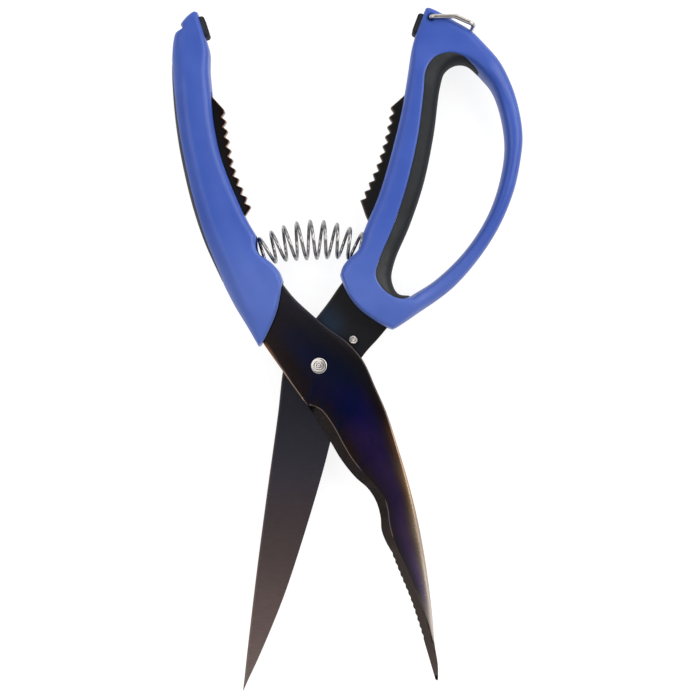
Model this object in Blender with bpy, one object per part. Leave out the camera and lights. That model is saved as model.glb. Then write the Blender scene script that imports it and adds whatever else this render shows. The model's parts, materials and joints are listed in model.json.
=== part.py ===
"""Spring-loaded poultry shears, lying open on their side.

All lengths here are millimetres. Outlines are seen from above (+Z) and measured from a point beside the
pivot axis: the handles lie towards +Y, the blades towards -Y, the lever handle on the -X side and the loop
handle on the +X side. Heights are measured from the plane where the two blades meet. The shears rest on the
undersides of their handles, which is z = 0 of the part.
"""

import math

import bmesh
import bpy
import numpy as np
from mathutils import Vector
from mathutils.geometry import delaunay_2d_cdt

MM = 0.001

# ---- driving dimensions ----
START = (-11.25, -5.6)  # the outlines' own zero, so that the middle of the open shears is the part's origin
PIVOT = (0.8, 0.15)  # the pivot axis, measured as the outlines are
HANDLE_HALF = 8.7  # half the thickness of a handle, so also the height of the blades' meeting plane
CLOSING_DEG = 33.6  # how far the lever arm turns until the bumpers meet
LATCHED_DEG = 33.3  # and where it stays once the bail holds it

BLADE_GAP = 0.3  # between the two blades
REST_GAP = 0.25  # between faces that rest on each other
FRONT_THICK = 3.2
REAR_THICK = 2.8
FRONT_BOTTOM = BLADE_GAP / 2
FRONT_TOP = FRONT_BOTTOM + FRONT_THICK
REAR_TOP = -BLADE_GAP / 2
REAR_BOTTOM = REAR_TOP - REAR_THICK
EDGE_THICK = 0.35  # of the cutting edges
FRONT_GRIND = 3.8  # width of the ground bevel on each blade
REAR_GRIND = 5.0
SPINE_DROP = 1.6  # how far the front blade's back is rounded down near its point
SPINE_ROUND = 5.5

PIVOT_SHANK = 2.0
PIVOT_HOLE = 2.1
PIVOT_HEAD = 3.0
PIVOT_HEAD_THICK = 0.9
WASHER_RADIUS = 3.9
WASHER_THICK = 0.5
NUT_RADIUS = 3.5
NUT_THICK = 1.3
NUT_BITE = 0.1  # radial play of the washer and the nut on the shank

STOP_AT = (13.4, 9.8)
STOP_RADIUS = 1.65
STOP_SHANK = 1.15
STOP_HOLE = 1.25
STOP_TAIL = 2.0
STOP_TAIL_THICK = 0.6

TEETH = 11  # of each nutcracker jaw
TOOTH_DEPTH = 1.5
SERRATIONS = 15
SERRATION_DEPTH = 0.35

EDGE_ROUND = 5.5  # how far from a handle's edge its rounding reaches
TIP_HALF = 6.2  # half the thickness of the handles' ends, where the bail passes over them
BOW_HALF = 5.6  # and of the loop's outer bow
TANG_PLAY = 0.2  # between a tang and its slot
TANG_STEP = 6.0  # spacing of the points on a tang's edges
SEAM_GAP = 0.3  # between a handle and its soft insert
LEVER_GRIP_DEPTH = 1.4

SPRING_RADIUS = 47.0  # of the spring's curved middle line, about the outlines' zero
SPRING_LEFT_DEG = -31.0  # where its ends sit, measured from +Y
SPRING_RIGHT_DEG = 21.8
SPRING_TURNS = 9.75
SPRING_WIRE = 1.25
COIL_END = 4.05  # coil radius at the ends, and what the middle adds to it
COIL_SWELL = 2.95
COIL_MIDDLE_DEG = -2.75
COIL_SPREAD_DEG = 21.0
COIL_START = -0.2  # where round its coil the wire starts, in turns from the side away from the pivot
POCKET_RADIUS = 6.4
POCKET_BACK = 0.9  # free depth behind a spring end
BOSS_RADIUS = 2.75
BOSS_LENGTH = 2.4

BAIL_AT = (42.0, 128.3)
BAIL_WIRE = 0.85
BAIL_HOLE = 1.1
BAIL_REACH = (15.7, -2.9)  # from its hole to its cross bar
BAIL_KNEE = (8.8, 0.1)
BAIL_ARM_Z = TIP_HALF + REST_GAP + BAIL_WIRE
BAIL_END_Z = 2.6
BAIL_BEND = 1.9
BAIL_LATCHED_DEG = 174.0
NOTCH_RADIUS = 1.2

BUMPER_PROUD = 1.8
BUMPER_SUNK = 1.5
BUMPER_LENGTH = 7.7
BUMPER_DOWN = 0.3  # from the middle of the striking edge
BUMPER_HALF = 3.9

# ---- outlines: (x, y) or (x, y, half height of the rim there) ----
FRONT_SPINE = [
    (-12.8, 30.6), (-8.9, 25.7), (-4.7, 21.6), (4.0, 14.2), (11.2, 9.0), (17.0, 2.2), (21.8, -8.2),
    (25.7, -17.1), (30.1, -30.5), (34.1, -43.9), (37.4, -57.3), (39.9, -70.7), (41.5, -81.8),
    (42.8, -93.0), (43.6, -102.7), (44.8, -110.5), (44.9, -114.6),
]
FRONT_TIP = [(44.9, -114.6), (44.7, -116.4), (44.2, -116.5), (43.5, -114.8)]
SERRATED_EDGE = [(39.6, -101.5), (37.6, -95.2), (34.6, -86.3), (30.9, -77.4), (27.3, -68.4)]
NOTCHED_EDGE = [
    (27.3, -68.4), (25.5, -65.1), (24.0, -61.0), (23.6, -56.1), (22.0, -50.4), (18.9, -45.5),
    (14.3, -41.4), (9.0, -34.8), (5.4, -28.8), (0.4, -20.5), (-4.1, -13.8),
]
FRONT_HEEL = [(-4.1, -13.8), (-12.8, -1.7), (-19.3, 7.6)]
FRONT_TANG_BACK = [
    (-19.3, 7.6), (-22.6, 14.5), (-28.0, 24.2), (-34.4, 37.6), (-38.6, 47.6), (-42.6, 58.8),
    (-45.8, 71.0), (-48.1, 84.0), (-49.2, 96.5), (-49.1, 105.0), (-47.4, 109.0), (-44.8, 108.0),
    (-42.8, 104.6), (-39.1, 100.1), (-34.4, 94.9),
]
LEFT_JAW = [(-34.0, 94.1), (-32.5, 84.5), (-30.0, 72.6), (-24.4, 59.1)]
FRONT_TANG_FRONT = [
    (-24.6, 58.4), (-26.9, 55.0), (-29.6, 51.6), (-30.9, 47.6), (-29.2, 43.6), (-24.8, 36.8),
    (-20.8, 33.8), (-16.4, 32.6), (-12.8, 30.6),
]

REAR_SPINE = [
    (-27.6, -121.3), (-26.0, -106.4), (-22.3, -75.1), (-18.8, -48.4), (-14.5, -17.1), (-12.8, -2.2),
    (-11.0, 5.8), (-4.1, 13.4), (3.7, 23.1), (8.2, 29.6), (10.2, 32.2),
]
REAR_TANG_FRONT = [
    (10.2, 32.2), (13.4, 33.9), (16.6, 36.2), (19.4, 41.6), (21.7, 47.6), (21.6, 50.8), (19.0, 54.0),
    (16.4, 60.9),
]
RIGHT_JAW = [(16.1, 61.6), (22.0, 74.5), (25.6, 86.7), (27.4, 96.2)]
REAR_TANG_BACK = [
    (27.9, 96.7), (32.7, 101.0), (35.0, 103.4), (36.9, 102.0), (36.4, 94.5), (33.3, 76.6), (28.6, 59.5),
    (24.6, 48.0), (21.3, 39.2), (20.1, 34.2), (20.6, 29.6), (24.4, 24.4), (27.0, 19.6), (26.0, 14.1),
]
REAR_EDGE = [
    (26.0, 14.1), (22.3, 9.7), (18.2, 5.2), (14.1, -0.7), (10.6, -8.2), (7.8, -17.1), (2.4, -38.3),
    (-5.2, -64.0), (-12.6, -86.3), (-21.8, -108.6), (-26.0, -117.6), (-27.6, -121.3),
]
FRONT_CUT_FROM = (-1.5, -17.5)  # where each ground bevel starts
REAR_CUT_FROM = (10.6, -8.2)

LEVER_TOP = [
    (-50.3, 126.9, 1.6), (-49.5, 127.9, 2.0), (-47.4, 130.0, 2.4), (-45.4, 131.2, 2.6), (-44.1, 130.7, 3.0),
]
LEVER_STRIKE = [(-44.1, 130.7, 3.0), (-41.0, 120.7, 3.6)]
LEVER_INNER = [
    (-41.0, 120.7, 3.6), (-40.0, 116.6, 3.9), (-40.0, 110.0, 4.3), (-39.1, 100.1, 4.6), (-38.1, 90.0, 4.6),
    (-35.9, 78.9, 4.6), (-32.9, 69.9, 4.6), (-29.2, 61.0, 4.6), (-25.9, 53.9, 4.6), (-22.5, 48.2, 4.6),
]
LEVER_SCOOP = [
    (-22.5, 48.2, 4.6), (-22.2, 45.0, 4.6), (-21.0, 42.2, 4.6), (-18.6, 39.6, 4.6), (-15.9, 37.3, 4.6),
    (-13.9, 34.8, 4.6), (-12.6, 31.4, 4.6),
]
LEVER_END = [
    (-12.6, 31.4, 4.6), (-13.2, 28.3, 4.6), (-14.6, 21.0, 4.6), (-17.3, 14.1, 4.6), (-20.2, 8.6, 4.6),
    (-21.4, 7.2, 4.4),
]
LEVER_OUTER = [
    (-21.4, 7.2, 4.4), (-25.3, 13.9, 3.4), (-31.1, 23.4, 1.6), (-37.6, 36.6, 1.0), (-41.9, 46.3, 1.0),
    (-45.7, 57.5, 1.0), (-48.9, 70.0, 1.0), (-51.5, 83.4, 1.0), (-53.1, 96.7, 1.0), (-53.8, 110.0, 1.0),
    (-53.4, 119.4, 1.2), (-52.6, 123.0, 1.4), (-51.4, 124.9, 1.5),
]
LEVER_GRIP_FROM_Y = 30.0  # the palm strip's two ends
LEVER_GRIP_TO_Y = 113.0

LOOP_OUTER = [
    (40.1, 132.1, 3.0), (41.1, 132.5, 2.8), (44.2, 131.5, 2.4), (50.7, 128.0, 1.8), (56.7, 124.6, 1.4),
    (62.8, 118.7, 1.1), (68.1, 112.3, 1.0), (72.5, 103.4, 1.0), (75.1, 94.5, 1.0), (76.3, 85.6, 1.0),
    (75.9, 78.9, 1.0), (72.9, 64.4, 1.0), (65.3, 47.6, 1.0), (51.3, 29.8, 1.2), (36.1, 18.6, 2.4),
    (30.5, 14.8, 3.6), (28.2, 13.5, 4.4),
]
LOOP_END = [
    (28.2, 13.5, 4.4), (26.2, 14.2, 4.6), (22.3, 16.4, 4.6), (16.2, 20.8, 4.6), (12.3, 25.3, 4.6),
    (9.9, 29.8, 4.6), (8.6, 33.6, 4.6),
]
LOOP_INNER = [
    (8.6, 33.6, 4.6), (9.5, 36.5, 4.6), (12.0, 39.8, 4.6), (14.6, 42.2, 4.6), (16.3, 45.8, 4.6),
    (17.4, 49.8, 4.6), (22.9, 63.2, 4.6), (27.0, 76.6, 4.6), (31.4, 94.5, 4.6), (34.0, 109.7, 4.3),
    (35.1, 117.2, 3.8), (36.2, 121.5, 3.6),
]
LOOP_STRIKE = [(36.2, 121.5, 3.6), (40.1, 132.1, 3.0)]
HOLE_GRIP_SIDE = [
    (60.4, 108.0, 1.0), (55.7, 111.8, 1.0), (51.6, 112.0, 1.0), (47.6, 109.2, 1.0), (45.7, 103.4, 1.0),
    (43.3, 85.6, 1.0), (39.6, 67.7, 1.0), (34.4, 52.1, 1.0), (28.8, 38.7, 1.0), (27.7, 32.0, 1.0),
    (30.1, 26.9, 1.0), (35.0, 26.1, 1.0),
]
HOLE_BOW_SIDE = [
    (35.0, 26.1, 1.0), (44.1, 32.0, 1.0), (55.4, 43.2, 1.0), (63.8, 56.5, 1.0), (68.3, 69.9, 1.0),
    (69.8, 82.0, 1.0), (67.9, 94.5, 1.0), (64.8, 102.6, 1.0), (60.4, 108.0, 1.0),
]
LOOP_SEAM = [
    (60.4, 108.0), (57.4, 111.4), (53.0, 114.5), (48.2, 115.3), (43.2, 113.4), (40.1, 108.7),
    (39.1, 99.7), (37.1, 84.3), (33.1, 66.7), (28.1, 51.4), (22.9, 38.9), (21.7, 33.4), (23.7, 29.1),
    (28.0, 25.6), (32.1, 24.8), (35.0, 26.1),
]

MATERIALS = {
    # name: (red, green, blue of the sRGB colour, roughness, metallic)
    "blue_polypropylene": (82, 104, 180, 0.42, 0.0),
    "grey_soft_grip": (68, 69, 73, 0.75, 0.0),
    "coated_steel_front": (30, 27, 48, 0.22, 1.0),
    "coated_steel_rear": (72, 64, 66, 0.38, 1.0),
    "turned_steel": (200, 196, 190, 0.3, 1.0),
    "spring_steel": (190, 188, 186, 0.2, 1.0),
    "bail_steel": (205, 200, 192, 0.12, 1.0),
}


# ---- curves and outlines ----
def through(points, step):
    """Points about step apart along a smooth curve through the given ones (centripetal Catmull-Rom)."""
    p = np.array(points, float)
    if len(p) == 2:
        count = max(1, math.ceil(np.linalg.norm(p[1, :2] - p[0, :2]) / step))
        return p[0] + np.linspace(0, 1, count + 1)[:, None] * (p[1] - p[0])
    p = np.vstack([2 * p[0] - p[1], p, 2 * p[-1] - p[-2]])
    found = []
    for a, b, c, d in zip(p, p[1:], p[2:], p[3:]):
        knots = np.cumsum([0] + [math.sqrt(np.linalg.norm(v[:2])) for v in (b - a, c - b, d - c)])
        count = max(1, math.ceil(np.linalg.norm(c[:2] - b[:2]) / step))
        for t in np.linspace(knots[1], knots[2], count, endpoint=False):
            ab = a + (b - a) * (t - knots[0]) / (knots[1] - knots[0])
            bc = b + (c - b) * (t - knots[1]) / (knots[2] - knots[1])
            cd = c + (d - c) * (t - knots[2]) / (knots[3] - knots[2])
            abc = ab + (bc - ab) * (t - knots[0]) / (knots[2] - knots[0])
            bcd = bc + (cd - bc) * (t - knots[1]) / (knots[3] - knots[1])
            found.append(abc + (bcd - abc) * (t - knots[1]) / (knots[2] - knots[1]))
    return np.array(found + [p[-2]])


def joined(*runs, closed=True):
    """One line from runs that each start where the last one ends, closed into an outline if wanted."""
    width = min(len(run[0]) for run in runs)
    points = [np.array(point[:width]) for run in runs for point in run]
    after = points[1:] + ([points[0]] if closed else [points[-1] + 1])
    return np.array([p for p, q in zip(points, after) if np.linalg.norm(p[:2] - q[:2]) > 0.02])


def area_of(loop):
    x, y = loop[:, 0], loop[:, 1]
    return 0.5 * float(np.sum(x * np.roll(y, -1) - np.roll(x, -1) * y))


def circle(centre, radius, count):
    angles = np.linspace(0, 2 * math.pi, count, endpoint=False)
    return np.array(centre) + radius * np.column_stack([np.cos(angles), np.sin(angles)])


def normals_of(line, closed):
    """Unit normals on the left of a line's direction of travel."""
    ahead = np.roll(line[:, :2], -1, axis=0) - line[:, :2]
    behind = line[:, :2] - np.roll(line[:, :2], 1, axis=0)
    if not closed:
        ahead[-1] = behind[-1]
        behind[0] = ahead[0]
    way = sum(part / np.linalg.norm(part, axis=1)[:, None] for part in (ahead, behind))
    way = way / np.linalg.norm(way, axis=1)[:, None]
    return np.column_stack([-way[:, 1], way[:, 0]])


def shifted(line, distance):
    """An open line moved sideways, to the left of its direction of travel."""
    return np.array(line)[:, :2] + distance * normals_of(np.array(line), closed=False)


def distance_to(points, line, closed=False):
    """Distance from each point to a line of straight pieces."""
    ends = np.roll(line, -1, axis=0) if closed else line[1:]
    starts = line if closed else line[:-1]
    best = np.full(len(points), np.inf)
    for a, b in zip(starts[:, :2], ends[:, :2]):
        along = b - a
        share = np.clip((points - a) @ along / max(along @ along, 1e-12), 0, 1)
        best = np.minimum(best, np.linalg.norm(points - a - share[:, None] * along, axis=1))
    return best


def inside(points, loops):
    """Whether each point is inside the loops, counting crossings, so that inner loops are holes."""
    crossings = np.zeros(len(points), int)
    for loop in loops:
        for (ax, ay), (bx, by) in zip(loop[:, :2], np.roll(loop[:, :2], -1, axis=0)):
            if ay == by:
                continue
            spans = (points[:, 1] < ay) != (points[:, 1] < by)
            at = ax + (points[:, 1] - ay) * (bx - ax) / (by - ay)
            crossings += spans & (points[:, 0] < at)
    return crossings % 2 == 1


def smoothstep(value):
    t = np.clip(value, 0, 1)
    return t * t * (3 - 2 * t)


# ---- solids ----
def material(name):
    found = bpy.data.materials.get(name)
    if found:
        return found
    red, green, blue, roughness, metallic = MATERIALS[name]
    found = bpy.data.materials.new(name)
    found.use_nodes = True
    shader = found.node_tree.nodes["Principled BSDF"]
    linear = [((c / 255 + 0.055) / 1.055) ** 2.4 for c in (red, green, blue)]
    shader.inputs["Base Color"].default_value = (*linear, 1)
    shader.inputs["Roughness"].default_value = roughness
    shader.inputs["Metallic"].default_value = metallic
    return found


def place_on(arm, thing):
    """Hangs a thing on an arm, with the outlines' zero where it belongs beside the arm's axis."""
    thing.parent = arm
    if arm.name in ("rear_arm", "front_arm"):
        thing.location = (-PIVOT[0] * MM, -PIVOT[1] * MM, 0)


def object_of(name, build, arm, finish, smooth_deg=35):
    """An object from a mesh being built, which is in millimetres."""
    bmesh.ops.triangulate(build, faces=build.faces)
    bmesh.ops.scale(build, verts=build.verts, vec=(MM, MM, MM))
    mesh = bpy.data.meshes.new(name)
    build.to_mesh(mesh)
    build.free()
    thing = bpy.data.objects.new(name, mesh)
    bpy.context.scene.collection.objects.link(thing)
    place_on(arm, thing)
    if finish:
        mesh.materials.append(material(finish))
        mesh.shade_smooth()
        mesh.set_sharp_from_angle(angle=math.radians(smooth_deg))
    else:
        thing.hide_render = True
        thing.display_type = "WIRE"
    return thing


def relief(name, loops, top, bottom, arm, finish, lines=(), rows=(), grid=None):
    """A closed solid over flat loops, with its top and bottom heights given by functions of the points.

    lines are extra creases, rows are distances from the outline at which extra points are laid, and grid is
    the spacing of those in the middle."""
    points, edges = [], []
    for loop in loops:
        first = len(points)
        points += [tuple(p[:2]) for p in loop]
        edges += [(first + i, first + (i + 1) % len(loop)) for i in range(len(loop))]
    for line in lines:
        first = len(points)
        points += [tuple(p[:2]) for p in line]
        edges += [(first + i, first + i + 1) for i in range(len(line) - 1)]
    spare = [np.empty((0, 2))]
    for loop in loops:
        turn = 1 if area_of(loop) > 0 else -1
        turn = turn if loop is loops[0] else -turn
        for row in rows:
            spare.append(loop[:, :2] + turn * row * normals_of(loop, closed=True))
    spare = np.vstack(spare)
    if len(spare):
        clear = np.min([distance_to(spare, loop, closed=True) for loop in loops], axis=0)
        wanted = np.repeat([row for _ in loops for row in rows], [len(loop) for loop in loops for _ in rows])
        spare = spare[inside(spare, loops) & (clear > 0.9 * wanted)]
    if grid:
        low, high = loops[0][:, :2].min(axis=0), loops[0][:, :2].max(axis=0)
        columns, ranks = (np.arange(low[i], high[i], grid) for i in (0, 1))
        mesh_points = np.array([(x + (grid / 2) * (j % 2), y) for j, y in enumerate(ranks) for x in columns])
        clear = np.min([distance_to(mesh_points, loop, closed=True) for loop in loops], axis=0)
        reach = (rows[-1] if rows else 0) + 0.55 * grid
        spare = np.vstack([spare, mesh_points[inside(mesh_points, loops) & (clear > reach)]])
    points += [tuple(p) for p in spare]
    flat, _, faces, _, _, _ = delaunay_2d_cdt([Vector(p) for p in points], edges, [], 0, 1e-5)
    flat = np.array([tuple(v) for v in flat])
    middles = np.array([flat[f].mean(axis=0) for f in faces])
    faces = [f for f, keep in zip(faces, inside(middles, loops)) if keep]
    used = sorted({i for f in faces for i in f})
    place = {old: new for new, old in enumerate(used)}
    flat = flat[used]
    faces = [[place[i] for i in f] for f in faces]
    high, low = top(flat), bottom(flat)
    build = bmesh.new()
    upper = [build.verts.new((x, y, z)) for (x, y), z in zip(flat, high)]
    lower = [build.verts.new((x, y, z)) for (x, y), z in zip(flat, low)]
    rim = {}
    for face in faces:
        x, y = flat[face, 0], flat[face, 1]
        if np.sum(x * np.roll(y, -1) - np.roll(x, -1) * y) < 0:
            face = face[::-1]
        build.faces.new([upper[i] for i in face])
        build.faces.new([lower[i] for i in reversed(face)])
        for a, b in zip(face, face[1:] + face[:1]):
            rim[(a, b)] = (b, a) not in rim
            if (b, a) in rim:
                rim[(b, a)] = False
    for (a, b), outer in rim.items():
        if outer:
            build.faces.new([upper[b], upper[a], lower[a], lower[b]])
    return object_of(name, build, arm, finish)


def flat_at(height):
    return lambda points: np.full(len(points), float(height))


def turned(name, profile, centre, arm, finish, count=32, towards=None):
    """A solid of revolution. profile runs round it as (radius, height), from the axis and back to it."""
    build = bmesh.new()
    rings = []
    for radius, height in profile:
        spots = [(0.0, 0.0)] if radius == 0 else circle((0, 0), radius, count)
        rings.append([build.verts.new((x, y, height)) for x, y in spots])
    for lower, upper in zip(rings, rings[1:] + rings[:1]):
        if len(lower) == len(upper) == 1:
            continue
        for i in range(count):
            j = (i + 1) % count
            corners = [ring[k % len(ring)] for ring, k in ((lower, i), (lower, j), (upper, j), (upper, i))]
            build.faces.new(list(dict.fromkeys(corners)))
    bmesh.ops.recalc_face_normals(build, faces=build.faces)
    if towards is not None:
        turn = Vector((0, 0, 1)).rotation_difference(Vector(towards)).to_matrix()
        bmesh.ops.rotate(build, verts=build.verts, cent=(0, 0, 0), matrix=turn)
    bmesh.ops.translate(build, verts=build.verts, vec=centre)
    return object_of(name, build, arm, finish)


def wire(name, path, radius, arm, finish, resolution=2):
    """A round wire along a path of points, with closed ends."""
    curve = bpy.data.curves.new(name, "CURVE")
    curve.dimensions = "3D"
    curve.bevel_depth = radius * MM
    curve.bevel_resolution = resolution
    curve.use_fill_caps = True
    spline = curve.splines.new("POLY")
    spline.points.add(len(path) - 1)
    for point, place in zip(spline.points, path):
        point.co = (*(np.array(place) * MM), 1)
    curve.materials.append(material(finish))
    thing = bpy.data.objects.new(name, curve)
    bpy.context.scene.collection.objects.link(thing)
    place_on(arm, thing)
    return thing


def cut(thing, cutter):
    """A Boolean cut. Several cuts cross on each handle, and the manifold solver keeps its mesh closed."""
    modifier = thing.modifiers.new("cut_" + cutter.name, "BOOLEAN")
    modifier.operation = "DIFFERENCE"
    modifier.solver = "MANIFOLD"
    modifier.object = cutter


def frame_at(name, x, y, parent=None):
    """An empty on a joint's axis, at the height of the blades' meeting plane."""
    empty = bpy.data.objects.new(name, None)
    bpy.context.scene.collection.objects.link(empty)
    empty.parent = parent
    empty.location = (x * MM, y * MM, 0) if parent else (x * MM, y * MM, HANDLE_HALF * MM)
    return empty


# ---- the two blades ----
def toothed(line, count, depth, step):
    """Teeth with their tips on the line, their hollows depth to the left of it."""
    fine = through(line, step)
    along = np.concatenate([[0], np.cumsum(np.linalg.norm(np.diff(fine, axis=0), axis=1))])
    normals = normals_of(fine, closed=False)
    found = []
    for share in np.linspace(0, 1, 2 * count - 1):
        spot = [np.interp(share * along[-1], along, fine[:, k]) for k in (0, 1)]
        normal = np.array([np.interp(share * along[-1], along, normals[:, k]) for k in (0, 1)])
        hollow = round(share * (2 * count - 2)) % 2
        found.append(np.array(spot) + hollow * depth * normal)
    return np.array(found)


def bevel_share(points, edge, width):
    """How far each point is up a ground bevel: 0 on the cutting edge and 1 past the bevel."""
    return np.clip(distance_to(points, edge) / width, 0, 1)


def beyond(line, start):
    """The part of a line from the point nearest to start."""
    first = int(np.argmin(np.linalg.norm(line[:, :2] - np.array(start), axis=1)))
    return line[first:]


def front_blade(arm):
    serrated = toothed(SERRATED_EDGE, SERRATIONS, -SERRATION_DEPTH, 1.0)
    notched = through(NOTCHED_EDGE, 3.0)
    spine = through(FRONT_SPINE, 7.0)
    outline = joined(
        spine, through(FRONT_TIP, 1.0), serrated, notched, through(FRONT_HEEL, 20.0),
        through(FRONT_TANG_BACK, TANG_STEP), toothed(LEFT_JAW, TEETH, -TOOTH_DEPTH, 1.0),
        through(FRONT_TANG_FRONT, TANG_STEP),
    )
    edge = joined(beyond(notched[::-1], FRONT_CUT_FROM), SERRATED_EDGE[::-1], FRONT_TIP[:1:-1], closed=False)
    back = joined(beyond(spine, (25.7, -17.1)), FRONT_TIP[1:2], closed=False)

    def top(points):
        share = bevel_share(points, edge, FRONT_GRIND)
        bevel = FRONT_BOTTOM + EDGE_THICK + (FRONT_THICK - EDGE_THICK) * share
        growth = smoothstep((-15.0 - points[:, 1]) / 60.0)
        falling = 1 - np.clip(distance_to(points, back) / (SPINE_ROUND * growth + 0.01), 0, 1)
        return np.minimum(bevel, FRONT_TOP - SPINE_DROP * growth * falling)

    grind = shifted(edge, FRONT_GRIND)[1:-3]
    ridge = shifted(back, -SPINE_ROUND)[4:-5]
    loops = [outline, circle(PIVOT, PIVOT_HOLE, 24)]
    return relief("front_blade", loops, top, flat_at(FRONT_BOTTOM), arm, "coated_steel_front", [grind, ridge])


def rear_blade(arm):
    spine = through(REAR_SPINE, 10.0)
    edge_run = through(REAR_EDGE, 6.0)
    outline = joined(
        spine, through(REAR_TANG_FRONT, TANG_STEP), toothed(RIGHT_JAW, TEETH, -TOOTH_DEPTH, 1.0),
        through(REAR_TANG_BACK, TANG_STEP), edge_run,
    )
    edge = beyond(edge_run, REAR_CUT_FROM)

    def bottom(points):
        return REAR_TOP - EDGE_THICK - (REAR_THICK - EDGE_THICK) * bevel_share(points, edge, REAR_GRIND)

    grind = shifted(edge, -REAR_GRIND)[1:-3]
    loops = [outline, circle(PIVOT, PIVOT_HOLE, 24), circle(STOP_AT, STOP_HOLE, 16)]
    return relief("rear_blade", loops, flat_at(REAR_TOP), bottom, arm, "coated_steel_rear", [grind])


# ---- the pivot and the stop ----
def pivot(arm):
    head_from = FRONT_TOP + REST_GAP
    washer_top = REAR_BOTTOM - REST_GAP
    nut_top = washer_top - WASHER_THICK - REST_GAP
    nut_bottom = nut_top - NUT_THICK
    head_to = head_from + PIVOT_HEAD_THICK
    stud = [
        (0, nut_bottom), (PIVOT_SHANK, nut_bottom), (PIVOT_SHANK, head_from), (PIVOT_HEAD, head_from),
        (PIVOT_HEAD, head_to - 0.3), (PIVOT_HEAD - 0.3, head_to), (0, head_to),
    ]
    turned("pivot_stud", stud, (*PIVOT, 0), arm, "turned_steel")
    bore = PIVOT_SHANK + NUT_BITE
    washer = [
        (bore, washer_top - WASHER_THICK), (WASHER_RADIUS, washer_top - WASHER_THICK),
        (WASHER_RADIUS, washer_top), (bore, washer_top),
    ]
    turned("pivot_washer", washer, (*PIVOT, 0), arm, "turned_steel", count=24)
    nut = [
        (bore, nut_bottom), (NUT_RADIUS - 0.4, nut_bottom), (NUT_RADIUS, nut_bottom + 0.4),
        (NUT_RADIUS, nut_top), (bore, nut_top),
    ]
    turned("pivot_nut", nut, (*PIVOT, 0), arm, "turned_steel", count=24)


def stop_pin(arm):
    shoulder = REAR_TOP + REST_GAP
    tail_top = REAR_BOTTOM - REST_GAP
    tail = tail_top - STOP_TAIL_THICK
    profile = [
        (0, tail), (STOP_TAIL - 0.3, tail), (STOP_TAIL, tail + 0.3), (STOP_TAIL, tail_top),
        (STOP_SHANK, tail_top), (STOP_SHANK, shoulder), (STOP_RADIUS, shoulder),
        (STOP_RADIUS, FRONT_TOP - 0.3),
        (STOP_RADIUS - 0.3, FRONT_TOP), (0, FRONT_TOP),
    ]
    turned("stop_pin", profile, (*STOP_AT, 0), arm, "turned_steel", count=16)


# ---- the handles ----
def padded_height(border, crown):
    """Half height of a rounded handle: the rim's own at the border, rising to crown(points) inside it.

    The distance that drives the rise is a smooth one, made from every point of the border at once, so that a
    narrow limb is rounded over its middle."""
    samples = border[:, :2]
    rims = border[:, 2]
    spans = np.linalg.norm(np.roll(samples, -1, axis=0) - samples, axis=1)
    spans = np.where(spans > 4, 1.0, spans)

    def height(points):
        apart = np.linalg.norm(points[:, None, :] - samples[None, :, :], axis=2)
        weight = spans / np.maximum(apart, 0.3) ** 4
        soft = (weight.sum(axis=1) * 2 / math.pi) ** (-1 / 3)
        near = apart.min(axis=1)
        share = smoothstep((near - 0.5) / 1.5)
        depth = share * soft + (1 - share) * np.maximum(near - 0.3, 0)
        rim = (weight * rims).sum(axis=1) / weight.sum(axis=1)
        rise = np.sqrt(1 - (1 - np.clip(depth / EDGE_ROUND, 0, 1)) ** 2)
        return rim + (crown(points) - rim) * rise

    return height


def mirrored(height):
    return lambda points: -height(points)


def lever_crown(points):
    y = points[:, 1]
    tip = (HANDLE_HALF - TIP_HALF) * smoothstep((y - 106.0) / 14.0)
    return HANDLE_HALF - tip - 1.2 * smoothstep((22.0 - y) / 16.0)


def loop_crown(points):
    x, y = points[:, 0], points[:, 1]
    tip = smoothstep((y - 108.0) / 14.0)
    full = HANDLE_HALF - (HANDLE_HALF - TIP_HALF) * tip
    bow = smoothstep((x - 0.33 * y - 24.0) / 16.0) * smoothstep((x - 30.0) / 12.0)
    return full + (BOW_HALF - full) * bow * (1 - tip) - 1.2 * smoothstep((24.0 - y) / 12.0) * (1 - bow)


def tang_slot(name, hidden, mouth, low, high, arm):
    """A cutter for a tang's slot: the tang's hidden edges, eased, closed by a line past the mouth."""
    loop = np.vstack([*hidden, np.array(mouth)])
    return relief(name, [loop], flat_at(high), flat_at(low), arm, None)


def spring_pocket(name, degrees, facing, arm):
    """A round pocket with a boss left in its middle. facing is +1 where it opens towards larger angles."""
    bottom = math.radians(degrees - facing * math.degrees(POCKET_BACK / SPRING_RADIUS))
    centre = (SPRING_RADIUS * math.sin(bottom), SPRING_RADIUS * math.cos(bottom), 0)
    way = (facing * math.cos(bottom), -facing * math.sin(bottom), 0)
    profile = [
        (BOSS_RADIUS, 0), (POCKET_RADIUS, 0), (POCKET_RADIUS, 16), (0, 16), (0, BOSS_LENGTH),
        (BOSS_RADIUS, BOSS_LENGTH),
    ]
    return turned(name, profile, centre, arm, None, count=20, towards=way)


def bumper_spot(strike):
    """The middle of a striking edge and the directions along it and out of the handle."""
    a, b = (np.array(p[:2]) for p in strike)
    along = (b - a) / np.linalg.norm(b - a)
    down = along * (BUMPER_DOWN if a[1] > b[1] else -BUMPER_DOWN)
    return (a + b) / 2 + down, along, np.array([-along[1], along[0]])


def bumper(name, strike, arm, ease, finish):
    middle, along, out = bumper_spot(strike)
    half = BUMPER_LENGTH / 2 + ease
    corners = [
        (-half, -BUMPER_SUNK - ease), (half, -BUMPER_SUNK - ease), (half, BUMPER_PROUD - 0.7),
        (half - 0.9, BUMPER_PROUD), (0.9 - half, BUMPER_PROUD), (-half, BUMPER_PROUD - 0.7),
    ]
    loop = np.array([middle + u * along + v * out for u, v in corners])
    height = BUMPER_HALF + ease
    return relief(name, [loop], flat_at(height), flat_at(-height), arm, finish)


def spun(place, degrees):
    """A flat place turned about zero."""
    turn = math.radians(degrees)
    x, y = place
    return np.array([x * math.cos(turn) - y * math.sin(turn), x * math.sin(turn) + y * math.cos(turn)])


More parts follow.
